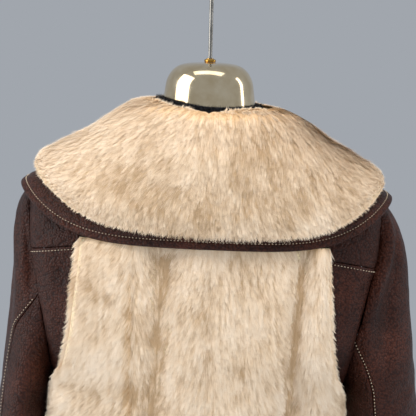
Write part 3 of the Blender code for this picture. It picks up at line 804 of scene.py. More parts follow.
def combed_shearling(name, settings):
    """Dyed and combed sheepskin pile: pale, silky ends over warm, darker roots, and no two tufts alike."""
    material, tree, shader = new_material(name)
    along = add_node(tree, "ShaderNodeAttribute", attribute_name="along").outputs["Fac"]
    tone = add_node(tree, "ShaderNodeAttribute", attribute_name="tone").outputs["Fac"]
    root, tip = settings.fur_root, settings.fur_tip
    halfway = [0.3 * a + 0.7 * b for a, b in zip(root, tip)]
    stops = [(0.0, scaled(root, 1)), (0.5, scaled(halfway, 1)), (1.0, scaled(tip, 1))]
    length = add_node(tree, "ShaderNodeValToRGB", {"Fac": along}, stops=stops)
    stops = [(0.0, linear("#CEBCA4")), (0.5, linear("#F6F0E7")), (1.0, linear("#FFFFFF"))]
    tint = add_node(tree, "ShaderNodeValToRGB", {"Fac": tone}, stops=stops)
    colours = {0: 1.0, 6: length.outputs["Color"], 7: tint.outputs["Color"]}
    colour = add_node(tree, "ShaderNodeMix", colours, **MULTIPLY)
    tree.links.new(colour.outputs[2], shader.inputs["Base Color"])
    shader.inputs["Roughness"].default_value = 0.62
    shader.inputs["Specular IOR Level"].default_value = 0.25
    return material


def shearling_underwool(name, settings):
    """The dense underwool of the pelt, seen between the tufts: warm, matt and darker than the hair."""
    material, tree, shader = new_material(name)
    where = add_node(tree, "ShaderNodeTexCoord").outputs["Object"]
    # The crimped locks of the wool are about 3 mm wide.
    wool_inputs = {"Vector": where, "Scale": 1 / (3 * MM), "Detail": 4}
    wool = add_node(tree, "ShaderNodeTexNoise", wool_inputs).outputs["Fac"]
    stops = [(0.3, scaled(settings.fur_root, 0.6)), (0.7, scaled(settings.fur_root, 1.5))]
    colour = add_node(tree, "ShaderNodeValToRGB", {"Fac": wool}, stops=stops)
    bump = add_node(tree, "ShaderNodeBump", {"Height": wool, "Strength": 0.8, "Distance": 1.5 * MM})
    tree.links.new(colour.outputs["Color"], shader.inputs["Base Color"])
    tree.links.new(bump.outputs["Normal"], shader.inputs["Normal"])
    shader.inputs["Roughness"].default_value = 0.95
    return material


def waxed_thread(name, settings):
    """Waxed polyester topstitching thread: cream and twisted, with a slight gloss."""
    material, tree, shader = new_material(name)
    where = add_node(tree, "ShaderNodeTexCoord").outputs["Object"]
    # A turn of the thread's twist is 1.2 mm long.
    twist = add_node(tree, "ShaderNodeTexNoise", {"Vector": where, "Scale": 1 / (1.2 * MM), "Detail": 2})
    stops = [(0.3, linear("#978772")), (0.7, linear("#C2B29C"))]
    colour = add_node(tree, "ShaderNodeValToRGB", {"Fac": twist.outputs["Fac"]}, stops=stops)
    tree.links.new(colour.outputs["Color"], shader.inputs["Base Color"])
    shader.inputs["Roughness"].default_value = 0.5
    return material


def brushed_rib_knit(name, settings):
    """Brushed black acrylic rib: it takes nearly all the light and turns grey only on its fluff."""
    material, tree, shader = new_material(name)
    where = add_node(tree, "ShaderNodeTexCoord").outputs["Object"]
    # The fluff stands in 2 mm tufts.
    fluff_inputs = {"Vector": where, "Scale": 1 / (2 * MM), "Detail": 4}
    fluff = add_node(tree, "ShaderNodeTexNoise", fluff_inputs).outputs["Fac"]
    stops = [(0.35, linear("#08080A")), (0.75, linear("#26262A"))]
    colour = add_node(tree, "ShaderNodeValToRGB", {"Fac": fluff}, stops=stops)
    bump = add_node(tree, "ShaderNodeBump", {"Height": fluff, "Strength": 0.7, "Distance": 1 * MM})
    tree.links.new(colour.outputs["Color"], shader.inputs["Base Color"])
    tree.links.new(bump.outputs["Normal"], shader.inputs["Normal"])
    shader.inputs["Roughness"].default_value = 0.85
    return material


def polished_metal(name, low, high, smooth, smudged):
    """Spun and polished metal: sharp reflections, broken only by faint smudges."""
    material, tree, shader = new_material(name)
    where = add_node(tree, "ShaderNodeTexCoord").outputs["Object"]
    # The smudges are as wide as a fingertip.
    marks = add_node(tree, "ShaderNodeTexNoise", {"Vector": where, "Scale": 1 / (16 * MM), "Detail": 5})
    stops = [(0.3, linear(low)), (0.7, linear(high))]
    colour = add_node(tree, "ShaderNodeValToRGB", {"Fac": marks.outputs["Fac"]}, stops=stops)
    gloss = {"From Min": 0.3, "From Max": 0.75, "To Min": smooth, "To Max": smudged}
    rough = add_node(tree, "ShaderNodeMapRange", {"Value": marks.outputs["Fac"], **gloss})
    tree.links.new(colour.outputs["Color"], shader.inputs["Base Color"])
    tree.links.new(rough.outputs["Result"], shader.inputs["Roughness"])
    shader.inputs["Metallic"].default_value = 1.0
    return material


def polished_nickel(name, settings):
    """Nickel-plated spun steel, slightly yellow, like a mirror with a few smudges."""
    return polished_metal(name, "#DFC9A2", "#F0DEBC", 0.08, 0.17)


def drawn_steel(name, settings):
    """Bright drawn steel rod: a narrow, slightly soft highlight along its length."""
    return polished_metal(name, "#8E8A82", "#B4B0A8", 0.22, 0.34)


def turned_brass(name, settings):
    """Turned and lacquered brass: warm yellow, with small bright rings."""
    return polished_metal(name, "#B98A3C", "#D9AE5A", 0.16, 0.28)


def cotton_jersey(name, settings):
    """Fine black cotton jersey stretched over the form: matt, with a faint knit."""
    material, tree, shader = new_material(name)
    where = add_node(tree, "ShaderNodeTexCoord").outputs["Object"]
    # A knitted row is under 1 mm. The bands of this wave are drawn 2 mm apart, so that they show.
    knit_inputs = {"Vector": where, "Scale": 1 / (6.3 * MM), "Distortion": 1.5}
    knit = add_node(tree, "ShaderNodeTexWave", knit_inputs).outputs["Fac"]
    stops = [(0.0, linear("#141416")), (1.0, linear("#242427"))]
    colour = add_node(tree, "ShaderNodeValToRGB", {"Fac": knit}, stops=stops)
    bump = add_node(tree, "ShaderNodeBump", {"Height": knit, "Strength": 0.4, "Distance": 0.3 * MM})
    tree.links.new(colour.outputs["Color"], shader.inputs["Base Color"])
    tree.links.new(bump.outputs["Normal"], shader.inputs["Normal"])
    shader.inputs["Roughness"].default_value = 0.9
    return material


def painted_floor(name, settings):
    """Smooth studio floor paint: pale, matt and a little cloudy."""
    material, tree, shader = new_material(name)
    where = add_node(tree, "ShaderNodeTexCoord").outputs["Object"]
    # The paint is cloudy over about 670 mm.
    cloud = add_node(tree, "ShaderNodeTexNoise", {"Vector": where, "Scale": 1.5, "Detail": 3})
    stops = [(0.3, linear("#B4B8BD")), (0.7, linear("#BEC2C7"))]
    colour = add_node(tree, "ShaderNodeValToRGB", {"Fac": cloud.outputs["Fac"]}, stops=stops)
    tree.links.new(colour.outputs["Color"], shader.inputs["Base Color"])
    shader.inputs["Roughness"].default_value = 0.7
    return material


def finish(make):
    """The material that a function makes, made once and then shared by its pieces."""
    return bpy.data.materials.get(make.__name__) or make(make.__name__, bpy.context.scene.jacket)


# ------------------------------------------------------------------ the jacket's leather
# Each row is a piece, the angle and height of a crease's one end and of its other, its width, and how far it
# stands out. A negative number is a trough.
CREASES = (
    ("back_yoke", 58, -150, 66, -184, 5, -1.2),
    ("back_yoke", -62, -146, -72, -180, 6, -1.4),
    ("back_yoke", 72, -120, 60, -168, 9, 1.5),
    ("back_yoke", -78, -118, -66, -166, 9, 1.5),
    ("side_back_left", 62, -196, 74, -330, 12, 2.6),
    ("side_back_left", 78, -200, 66, -262, 7, -1.6),
    ("side_back_left", 70, -226, 80, -350, 8, -1.8),
    ("side_back_right", -64, -196, -74, -330, 14, 2.4),
    ("side_back_right", -80, -206, -72, -300, 7, -1.4),
    ("side_back_right", -60, -230, -66, -290, 8, -1.2),
    ("front_left", 66, -140, 40, -330, 16, -2.2),
    ("front_left", 30, -330, 62, -470, 14, 2.4),
    ("front_left", 74, -390, 46, -560, 12, -1.8),
    ("front_left", 12, -420, 26, -590, 18, 1.8),
    ("front_right", -62, -150, -44, -350, 15, -2.0),
    ("front_right", -34, -300, -66, -450, 15, 2.2),
    ("front_right", -70, -410, -40, -575, 11, -2.0),
    ("front_right", -14, -380, -22, -560, 16, 1.6),
    ("sleeve_upper_left", 78, -150, 66, -262, 6, -2.2),
    ("sleeve_upper_left", 64, -136, 52, -240, 8, 2.6),
    ("sleeve_upper_left", 40, -190, 26, -330, 10, -1.4),
    ("sleeve_upper_left", 20, -330, 48, -372, 7, -1.8),
    ("sleeve_upper_left", -20, -345, 30, -400, 8, -1.8),
    ("sleeve_upper_left", -60, -300, -10, -360, 9, -1.6),
    ("sleeve_upper_left", 30, -430, -30, -470, 9, 1.8),
    ("sleeve_upper_left", -50, -520, 20, -560, 10, -1.6),
    ("sleeve_upper_left", 40, -620, -20, -660, 9, 1.4),
    ("sleeve_upper_right", 84, -150, 96, -300, 6, -3.0),
    ("sleeve_upper_right", 62, -140, 80, -270, 8, 3.4),
    ("sleeve_upper_right", 46, -170, 58, -300, 8, -2.0),
    ("sleeve_upper_right", 34, -350, 90, -390, 9, -1.8),
    ("sleeve_upper_right", -10, -330, 50, -380, 9, 1.8),
    ("sleeve_upper_right", -56, -310, -12, -350, 9, -1.6),
    ("sleeve_upper_right", 60, -440, 0, -480, 9, 1.8),
    ("sleeve_upper_right", 20, -540, 70, -580, 9, -1.6),
    ("sleeve_upper_right", -40, -610, 20, -650, 9, 1.4),
    ("sleeve_under_left", 110, -390, 180, -430, 9, -1.8),
    ("sleeve_under_left", 90, -470, 200, -450, 9, 1.8),
    ("sleeve_under_left", 120, -560, 220, -590, 9, -1.6),
    ("sleeve_under_right", 130, -400, 190, -440, 9, -1.8),
    ("sleeve_under_right", 120, -480, 210, -460, 9, 1.8),
    ("sleeve_under_right", 130, -570, 220, -600, 9, -1.6),
)


def make_body(hide):
    """The yoke, whose lower edge steps up over the fur, the side backs and the fronts."""
    beside = angle_at(fur_half_width(SIDE_PANEL_TOP) + 4 * SEAM, SIDE_PANEL_TOP)
    above = angle_at(fur_half_width(SIDE_PANEL_TOP) + 3 * SEAM, FUR_TOP)
    outer = beside + fine(30) * (90 - beside)
    angles = np.concatenate([-outer[::-1], np.linspace(-above, above, 60), outer])[None, :]
    lower = np.where(np.abs(angles) > above + 0.1, yoke_seam(angles) + SEAM, FUR_TOP + 2 * SEAM)
    z = NECKLINE + fine(34)[:, None] * (lower - NECKLINE)
    yoke = leather_panel("back_yoke", back_surface, angles, z, hide, 11)
    for number, (side, sign) in enumerate(SIDES):
        level = fine(70, 0.002)[:, None]
        z = SIDE_PANEL_TOP + level * (SIDE_PANEL_END + 1 - SIDE_PANEL_TOP)
        inner = angle_at(fur_half_width(z) + 4 * SEAM, z)
        angles = inner + fine(30)[None, :] * (90 - inner)
        fall = (yoke_seam(sign * angles) - SEAM - SIDE_PANEL_TOP) * (1 - level) ** 2
        name = f"side_back_{side}"
        piece = leather_panel(name, back_surface, sign * angles, z + fall, hide, 21 + number)
        z = NECKLINE + fine(100, 0.002)[:, None] * (HEM - NECKLINE)
        start = angle_at(0.2 * SEAM, z)
        angles = start + fine(50)[None, :] * (90 - start)
        piece = leather_panel(f"front_{side}", front_surface, sign * angles, z, hide, 31 + number)


def sleeve_seams(side, z):
    """The angles at which a sleeve's two seams run at a height, with their gaps."""
    gap = np.degrees(1.6 * SEAM / 60)
    back_seam = table(BACK_SEAM_ROWS, BACK_SEAM_COLUMNS, side)(z)
    return FRONT_SEAM + gap, back_seam - gap, back_seam + gap, 360 + FRONT_SEAM - gap


def all_round(sign):
    """How the normals of a sleeve are found: over more than a full turn, away from a line inside it."""
    return {"limit": 400.0, "centre": (sign * ARM_MIDDLE[0], ARM_MIDDLE[1])}


def make_sleeves(hide):
    """The upper and the under sleeves, from the armholes to the open cuffs."""
    for number, (side, sign) in enumerate(SIDES):
        surface = sleeve_surface(side)
        # The rows lie closer together towards the armhole's top, and the hide is thinner there.
        level = 0.6 * fine(130, 0.002) + 0.4 * fine(130, 0.002) ** 2
        z = ARMHOLE_TOP + level[:, None] * (CUFF - ARMHOLE_TOP)
        front_seam, before_back, _, _ = sleeve_seams(side, z)
        start, stop = np.maximum(-wrap(z), front_seam), np.minimum(wrap(z), before_back)
        angles = start + fine(52)[None, :] * (stop - start)
        thick = LEATHER * (0.45 + 0.55 * smooth_step((ARMHOLE_TOP - z + 0 * angles) / 25))
        name = f"sleeve_upper_{side}"
        upper = leather_panel(name, surface, angles, z, hide, 41 + number, thick, **all_round(sign))
        # Each column of the under sleeve starts where it comes out from under the arm.
        scan = np.arange(-245, UNDERARM - 2, -0.25)
        _, _, after_back, end = sleeve_seams(side, scan)
        columns = []
        for share in fine(40):
            turned = after_back + share * (end - after_back)
            opened = np.where(turned <= 180, turned, 360 - turned)
            top = scan[np.argmax(wrap(scan) >= opened)]
            heights = top + fine(90, 0.003) * (CUFF - top)
            _, _, seam, _ = sleeve_seams(side, heights)
            columns.append((seam + share * (end - seam), heights))
        angles, z = (np.array([c[k] for c in columns]).T for k in (0, 1))
        name = f"sleeve_under_{side}"
        under = leather_panel(name, surface, angles, z, hide, 51 + number, **all_round(sign))


# Across the collar's edge, from the fur to the roll: how far each line lies from the rim, and how far it
# stands off. The first line lies just under the fur, and follows its border.
EDGE_LINES = (
    (0.0, 0.3),
    (14, 1.6),
    (12, 1.75),
    (11, 1.7),
    (10, 1.5),
    (8.8, 1.0),
    (7.6, 0.75),
    (6.8, 1.0),
    (6.2, 1.5),
    (5.6, 1.75),
)


def make_collar_leather(hide, pitch):
    """The under collar and the topstitched, rolled edge of the collar."""
    turns = (2 * fine(120, 0.001) - 1)[None, :] * (COLLAR_END - 1)
    under_fur = fine(24)[:-3, None] * rim_share(turns, FUR_INSET)
    share = np.concatenate([under_fur, rim_share(turns, UNDER_COLLAR_INSET)])
    turns = np.broadcast_to(turns, share.shape)
    grid, normal = collar_surface(turns, share), collar_normal(turns, share)
    mesh = shell_mesh("under_collar_hide", grid, grid - LEATHER * normal)
    cloth_uv(mesh, grid)
    under = link("under_collar_hide", mesh, hide, "under_collar")

    turns = np.linspace(-COLLAR_END + 0.5, COLLAR_END - 0.5, 420)[:, None]
    runs, lift = np.array(EDGE_LINES).T[:, None]
    beyond_fur = np.broadcast_to(runs[:, 1:], (len(turns), len(EDGE_LINES) - 1))
    runs = np.concatenate([fur_inset(turns) + 3, beyond_fur], axis=1)
    share = rim_share(turns, runs)
    at = np.broadcast_to(turns, share.shape)
    top, normal = collar_surface(at, share), collar_normal(at, share)
    rim, rim_normal = collar_surface(turns, np.ones((1, 1))), collar_normal(turns, np.ones((1, 1)))
    out = unit(rim - collar_surface(turns, np.full((1, 1), 0.97)))
    step = np.linalg.norm(np.diff(rim[:, 0], axis=0, prepend=rim[:1, 0]), axis=-1)
    length = np.cumsum(step)[:, None]
    wave = 0.35 * noise(length, 0 * length, 26, 5) + 0.2 * noise(length, 0 * length, 7, 6)
    pull = 0.22 * np.sin(2 * np.pi * length / pitch) * ridge(runs, EDGE_STITCHES, 1.6)
    over = top + (COLLAR_GAP + lift + 0.35 * wave + pull)[..., None] * normal
    bend = np.radians(np.linspace(112, -172, 15))[None, :, None]
    radius = EDGE_ROLL * (1 + 0.10 * wave[..., None])
    centre = rim - EDGE_ROLL * out + 0.8 * rim_normal
    roll = centre + radius * (np.cos(bend) * out + np.sin(bend) * rim_normal)
    beneath = (top + COLLAR_GAP * normal)[:, ::3][:, ::-1]
    rings = np.concatenate([over, roll, beneath], axis=1)
    edge = link("collar_edge_hide", tube_mesh("collar_edge_hide", rings), hide, "collar_edge")


def tube_mesh(name, rings, closed=False):
    """A closed solid through rings of points, flat at both ends or joined end to end."""
    count, cols = rings.shape[:2]
    rows = np.arange(count if closed else count - 1)
    r, c = np.meshgrid(rows, np.arange(cols), indexing="ij")
    a, b = r * cols + c, r * cols + (c + 1) % cols
    last = count * cols
    faces = np.stack([a, b, (b + cols) % last, (a + cols) % last], axis=-1).reshape(-1, 4).tolist()
    if not closed:
        faces += [tuple(range(cols))[::-1], tuple(range(last - cols, last))]
    points = rings.reshape(-1, 3)
    middle = count // 2
    first = points[faces[middle * cols]]
    inwards = rings[middle].mean(axis=0) - first[0]
    if np.dot(np.cross(first[1] - first[0], first[3] - first[0]), inwards) > 0:
        faces = [face[::-1] for face in faces]
    return build_mesh(name, points, faces)


# ------------------------------------------------------------------ the topstitching
STITCH_SIDES = 5
STITCH_HALF = 0.23  # half a stitch's length, as a share of the pitch
# A stitch's sections: the place along its half length, the thread's radius, and how far it stands up.
STITCH_SECTIONS = ((-1, 0.2, -0.5), (-0.55, 0.62, 0.25), (0.55, 0.62, 0.25), (1, 0.2, -0.5))


def stitch_line(name, points, normals, pitch, thread):
    """A row of short, plump stitches along a line of points, each of which dips at its ends."""
    step = np.linalg.norm(np.diff(points, axis=0), axis=-1)
    run = np.concatenate([[0], np.cumsum(step)])
    middles = np.arange(0.5 * pitch, run[-1], pitch)

    def at(values, where):
        return np.stack([np.interp(where, run, values[:, k]) for k in range(3)], axis=-1)

    along = unit(at(points, middles + 0.4) - at(points, middles - 0.4))
    up = unit(at(normals, middles))
    side = unit(np.cross(along, up))
    around = np.linspace(0, 2 * np.pi, STITCH_SIDES, endpoint=False)[:, None]
    circle = np.cos(around) * side[:, None] + np.sin(around) * up[:, None]
    centres = at(points, middles)
    rings = [
        (centres + where * STITCH_HALF * pitch * along + rise * up)[:, None] + radius * circle
        for where, radius, rise in STITCH_SECTIONS
    ]
    points = np.stack(rings, axis=1)
    count, rows = points.shape[:2]
    each = rows * STITCH_SIDES
    r, c = np.meshgrid(np.arange(rows - 1), np.arange(STITCH_SIDES), indexing="ij")
    a, b = r * STITCH_SIDES + c, r * STITCH_SIDES + (c + 1) % STITCH_SIDES
    one = np.stack([a, b, b + STITCH_SIDES, a + STITCH_SIDES], axis=-1).reshape(-1, 4)
    faces = (one[None] + (np.arange(count) * each)[:, None, None]).reshape(-1, 4).tolist()
    caps = [list(range(STITCH_SIDES))[::-1], list(range(each - STITCH_SIDES, each))]
    faces += [[i + n * each for i in cap] for n in range(count) for cap in caps]
    flat = points.reshape(-1, 3)
    quad = flat[faces[0]]
    outwards = quad.mean(axis=0) - points[0].reshape(-1, 3).mean(axis=0)
    if np.dot(np.cross(quad[1] - quad[0], quad[3] - quad[0]), outwards) < 0:
        faces = [face[::-1] for face in faces]
    return link(name, build_mesh(name, flat, faces, sharp=math.pi), thread)


def make_stitches(thread, pitch):
    """The topstitching along the collar's edge, the yoke seams and the sleeves' back seams."""
    turns = np.linspace(-COLLAR_END + 1.5, COLLAR_END - 1.5, 700)
    share = rim_share(turns, EDGE_STITCHES)
    normal = collar_normal(turns, share)
    line = collar_surface(turns, share) + (COLLAR_GAP + 0.95) * normal
    stitch_line("edge_stitches", line, normal, pitch, thread)
    for side, sign in SIDES:
        inner = angle_at(fur_half_width(SIDE_PANEL_TOP) + 3, SIDE_PANEL_TOP)
        angles = sign * np.linspace(inner, 86, 120)
        z = yoke_seam(angles) - YOKE_STITCHES
        normal = outward(back_surface, angles, z)
        stitch_line(f"yoke_stitches_{side}", back_surface(angles, z) + normal, normal, pitch, thread)
        surface = sleeve_surface(side)
        z = np.linspace(SLEEVE_STITCH_TOPS[side], CUFF + 4, 500)
        _, before_back, _, _ = sleeve_seams(side, z)
        angles = before_back - np.degrees(SLEEVE_STITCHES / reach(z))
        normal = outward(surface, angles, z, **all_round(sign))
        stitch_line(f"sleeve_stitches_{side}", surface(angles, z) + normal, normal, pitch, thread)


# ------------------------------------------------------------------ the pelts and their pile
HAIR_SPLIT = -385.0  # the height at which the back's hair is divided into two pieces
HAIR_RUN = 15.0  # how far a hair's end lies from its root along the way it is combed
RUN_SPREAD = 2.5
ROOT_LIFT = 0.78  # the share of the pile's height at which the drawn hairs start


def scatter(surface, u, v, count, seed):
    """Places spread evenly over a surface, given as a grid of its two parameters."""
    rng = np.random.default_rng(seed)
    u, v = np.broadcast_arrays(u, v)
    points = surface(u, v)
    first, second = points[1:, 1:] - points[:-1, :-1], points[1:, :-1] - points[:-1, 1:]
    area = np.cumsum(np.linalg.norm(np.cross(first, second), axis=-1).ravel())
    pick = np.searchsorted(area, (np.arange(count) + rng.random(count)) / count * area[-1] * 0.999999)
    r, c = np.divmod(pick, u.shape[1] - 1)
    s, t = rng.random(count), rng.random(count)

    def inside(grid):
        upper = grid[r, c] * (1 - t) + grid[r, c + 1] * t
        return upper * (1 - s) + (grid[r + 1, c] * (1 - t) + grid[r + 1, c + 1] * t) * s

    return inside(u), inside(v)


def back_half(z):
    """The angle at which the back's fur ends at a height."""
    return np.where(z > SIDE_PANEL_END, angle_at(fur_half_width(z), z), 90.0)


def back_reach(z):
    """The angle that the back's pile rounds off towards, which widens smoothly under the side backs."""
    half = angle_at(fur_half_width(np.maximum(z, SIDE_PANEL_END)), np.maximum(z, SIDE_PANEL_END))
    return half + (90 - half) * smooth_step((-338 - z) / 52)


def drift(top_across, bottom_across, z):
    """Where something lies across the back at a height, from its places at the fur's top and at the hem."""
    return top_across + (bottom_across - top_across) * np.clip((FUR_TOP - z) / (FUR_TOP - HEM), 0, 1)


def back_folds(x, z):
    """How far the back's folds move its fur outwards."""
    moved = np.zeros(np.broadcast(x, z).shape)
    for top_across, bottom_across, width, depth, top, bottom in BACK_FOLDS:
        along = np.clip((top - z) / (top - bottom), 0, 1)
        across = top_across + (bottom_across - top_across) * along
        fade = smooth_step((top - z) / 30 + 0.3) * smooth_step((z - bottom) / 60)
        moved += depth * fade * ridge(x, across, width)
    return moved


def back_pile(angle, z):
    """How far the back's pile stands off its hide."""
    x = back_surface(angle, z)[..., 0]
    from_side = np.radians(back_reach(z) - np.abs(angle)) * edge_x(z)
    edges = rounded(FUR_TOP - z, 16) * rounded(z - HEM, 18) * rounded(from_side, 20)
    pressed = smooth_step((86 - np.abs(angle)) / (28 - 10 * smooth_step((-352 - z) / 90)))
    pile = 1.5 + (BACK_PILE - 1.5 + back_folds(x, z)) * edges * (0.04 + 0.96 * pressed)
    near = smooth_step((-352 - z) / 20) * smooth_step((z + 470) / 50)
    beside_sleeve = 1.15 * standoff(z) * smooth_step((np.abs(angle) - 66) / 10) * near
    return np.maximum(pile, beside_sleeve)


def back_turn(x, z):
    """How far the back's hair turns from straight down towards the wearer's left, in degrees."""
    turn = np.full(np.shape(x), float(BACK_FLOW[0][2]))
    for (top_a, bottom_a, turn_a), (top_b, bottom_b, turn_b) in zip(BACK_FLOW, BACK_FLOW[1:]):
        a, b = drift(top_a, bottom_a, z), drift(top_b, bottom_b, z)
        turn += (turn_b - turn_a) * smooth_step((a - x) / (a - b))
    return turn


def step_along(surface, u, v, flow, run, du, dv):
    """The parameters of the place a run further along the flow, on a surface."""
    across = (surface(u + du, v) - surface(u - du, v)) / (2 * du)
    along = (surface(u, v + dv) - surface(u, v - dv)) / (2 * dv)
    aa, bb, ab = (across * across).sum(-1), (along * along).sum(-1), (across * along).sum(-1)
    fa, fb = (flow * across).sum(-1), (flow * along).sum(-1)
    scale = run / (aa * bb - ab * ab)
    return u + scale * (fa * bb - fb * ab), v + scale * (fb * aa - fa * ab)


def back_crown(u, v, flow, run):
    """The end of a hair on the back: above the place that its run leads to, or on beyond the pelt's edge."""
    to_u, to_v = step_along(fur_surface, u, v, flow, run, 0.5, 1.0)
    side = back_half(np.clip(to_v, HEM, FUR_TOP)) - 0.3
    on_u, on_v = np.clip(to_u, -side, side), np.clip(to_v, HEM + 1, FUR_TOP - 0.5)
    normal = outward(fur_surface, on_u, on_v)
    point = fur_surface(on_u, on_v) + back_pile(on_u, on_v)[:, None] * normal
    over = fur_surface(np.clip(to_u, -89.5, 89.5), to_v) - fur_surface(on_u, on_v)
    return point + over + np.minimum(3.0, 0.5 * np.linalg.norm(over, axis=-1))[:, None] * normal


def make_back_fur(settings, hair, wool):
    """The back's pelt, and the hair on it in an upper and a lower piece."""
    # The pelt widens at once below the side backs, so its grid has a row just above their ends and one just
    # below. It lies lower there, and its step stays under the hair.
    beside = FUR_TOP + fine(28, 0.002) * (SIDE_PANEL_END + 0.02 - FUR_TOP)
    below = SIDE_PANEL_END - 0.02 + fine(30, 0.002) * (HEM - SIDE_PANEL_END + 0.02)
    z = np.concatenate([beside, below])[:, None]
    angles = (2 * fine(90, 0.0015) - 1)[None, :] * back_half(z)
    root, normal = fur_surface(angles, z), outward(fur_surface, angles, z)
    hide = back_surface(angles, z) - LEATHER * outward(back_surface, angles, z)
    share = PELT_SHARE - 0.3 * ridge(z, SIDE_PANEL_END, 7)
    ground = share * back_pile(angles, z) + 0.3 * noise(root[..., 0], z, 6, 61)
    mesh = shell_mesh("back_pelt", root + ground[..., None] * normal, hide)
    pelt = link("back_pelt", mesh, wool, "back_fur")
    parts = (("upper", FUR_TOP - 1, HAIR_SPLIT), ("lower", HAIR_SPLIT, HEM + 2))
    for number, (part, top, bottom) in enumerate(parts):
        z = top + np.linspace(0, 1, 60)[:, None] * (bottom - top)
        angles = np.linspace(-1, 1, 90)[None, :] * (back_half(z) - 0.6)
        u, v = scatter(fur_surface, angles, z, settings.back_hairs, 71 + number)
        base, normal = fur_surface(u, v), outward(fur_surface, u, v)
        x = base[:, 0]
        turn = np.radians(back_turn(x, v) + 7 * noise(x, v, 34, 81))
        down = unit(-normal * -normal[:, 2:] + [0, 0, -1])
        aside = unit(np.cross(down, normal))
        aside *= np.sign(aside[:, :1])
        flow = np.cos(turn)[:, None] * down + np.sin(turn)[:, None] * aside
        crown = back_crown(u, v, flow, HAIR_RUN + RUN_SPREAD * noise(x, v, 40, 84))
        streak = noise(x, v / 5, 3.2, 87)
        lumps = 1.6 * noise(x, v, 38, 82) + 0.6 * noise(x, v, 13, 83) + 0.8 * streak
        crown += lumps[:, None] * normal
        # Painted shade darkens the hair in the folds' troughs, and painted light makes it paler on the right.
        # It is also cloudy and streaked all over.
        shade = 0.075 * np.minimum(back_folds(x, v), 0) + 0.1 * smooth_step((-x - 104) / 12)
        shade += 0.26 * noise(x, v, 46, 85) + 0.18 * noise(x, v, 17, 86) + 0.32 * streak
        name, seed = f"back_hair_{part}", 91 + 2 * number
        pile_hairs(name, base, normal, crown, ROOT_LIFT, shade, settings, hair, seed)


def collar_ends(angle, row):
    """How much of the collar's pile is left beside the centre seam, whose parting closes towards the rim."""
    sunk = 0.04 + 0.2 * smooth_step((0.62 - row) / 0.45)
    return 1 - sunk * (1 - rounded(np.abs(angle), 5))


def collar_pile(angle, row):
    """How far the collar's pile stands off its foot, at a share of the way from the neck to its border."""
    edges = rounded(row + 0.02, 0.12) * rounded(1.01 - row + overhang(angle) / 300, 0.13)
    ends = collar_ends(angle, row) * rounded(COLLAR_END - np.abs(angle) + 0.3, 12)
    lower = neck_dip(angle) * smooth_step((0.5 - row) / 0.42)
    return np.maximum(2 + (COLLAR_PILE - 2) * edges * ends - lower, 2)


def collar_crown(u, v, flow, run):
    """The end of a hair on the collar: above the place that its run leads to, or on beyond the pelt."""
    to_u, to_v = step_along(collar_surface, u, v, flow, run, 0.5, 0.01)
    sign = np.sign(u)
    on_u = sign * np.clip(sign * to_u, 0.05, COLLAR_END - 1)
    edge = rim_share(on_u, fur_inset(on_u))
    on_v = np.clip(to_v, 0, edge)
    normal = collar_normal(on_u, on_v)
    on = collar_surface(on_u, on_v)
    point = on + (COLLAR_GAP + collar_pile(on_u, on_v / edge))[:, None] * normal
    step = collar_surface(on_u, on_v + 0.01) - collar_surface(on_u, on_v - 0.01)
    out, length = unit(step), np.linalg.norm(step, axis=-1) / 0.02
    beyond = ((to_v - on_v) * length)[:, None]
    bent = np.where(beyond > 0, -0.05 * beyond**2, -0.9 * beyond)
    return point + beyond * out + bent * normal


def collar_shade(u, row):
    """How much paler or darker the collar's hair is, by angle and by the share of the way to its border."""
    # Painted light along the neck, and painted shade in the parting.
    shade = 0.25 * smooth_step((0.15 - row) / 0.1) - 0.6 * (1 - collar_ends(u, row))
    # Paler along the lower border. Painted light towards both shoulders, over a painted shade that darkens
    # the whole collar, whose top faces the overhead lamp.
    shade += 0.2 * smooth_step((row - 0.84) / 0.12) + 0.17 * smooth_step((u - 20) / 30)
    shade += 0.1 * smooth_step((-u - 25) / 30) - 0.27
    # Darker along the crest at the centre back.
    return shade - 0.2 * ridge(row, 0.24, 0.08) * smooth_step((44 - np.abs(u)) / 30)


def collar_grid(rows, part, sign):
    """A grid over one half of the collar's fur: its angles, and its shares of the way to the rim."""
    share = rows * rim_share(part, fur_inset(sign * part))
    return np.broadcast_to(sign * part, share.shape), share


def collar_pelt(side, sign, number, wool):
    """One half of the collar's pelt."""
    rows = fine(36)[:, None]
    turned, share = collar_grid(rows, 0.1 + fine(80, 0.0015)[None, :] * (COLLAR_END - 1.1), sign)
    normal = collar_normal(turned, share)
    foot = collar_surface(turned, share) + COLLAR_GAP * normal
    rough = 0.3 * noise(100 * turned, 180 * share, 6, 101 + number)
    ground = PELT_SHARE * collar_pile(turned, rows) + rough
    name = f"collar_pelt_{side}"
    mesh = shell_mesh(name, foot + ground[..., None] * normal, foot)
    return link(name, mesh, wool, f"collar_fur_{side}")


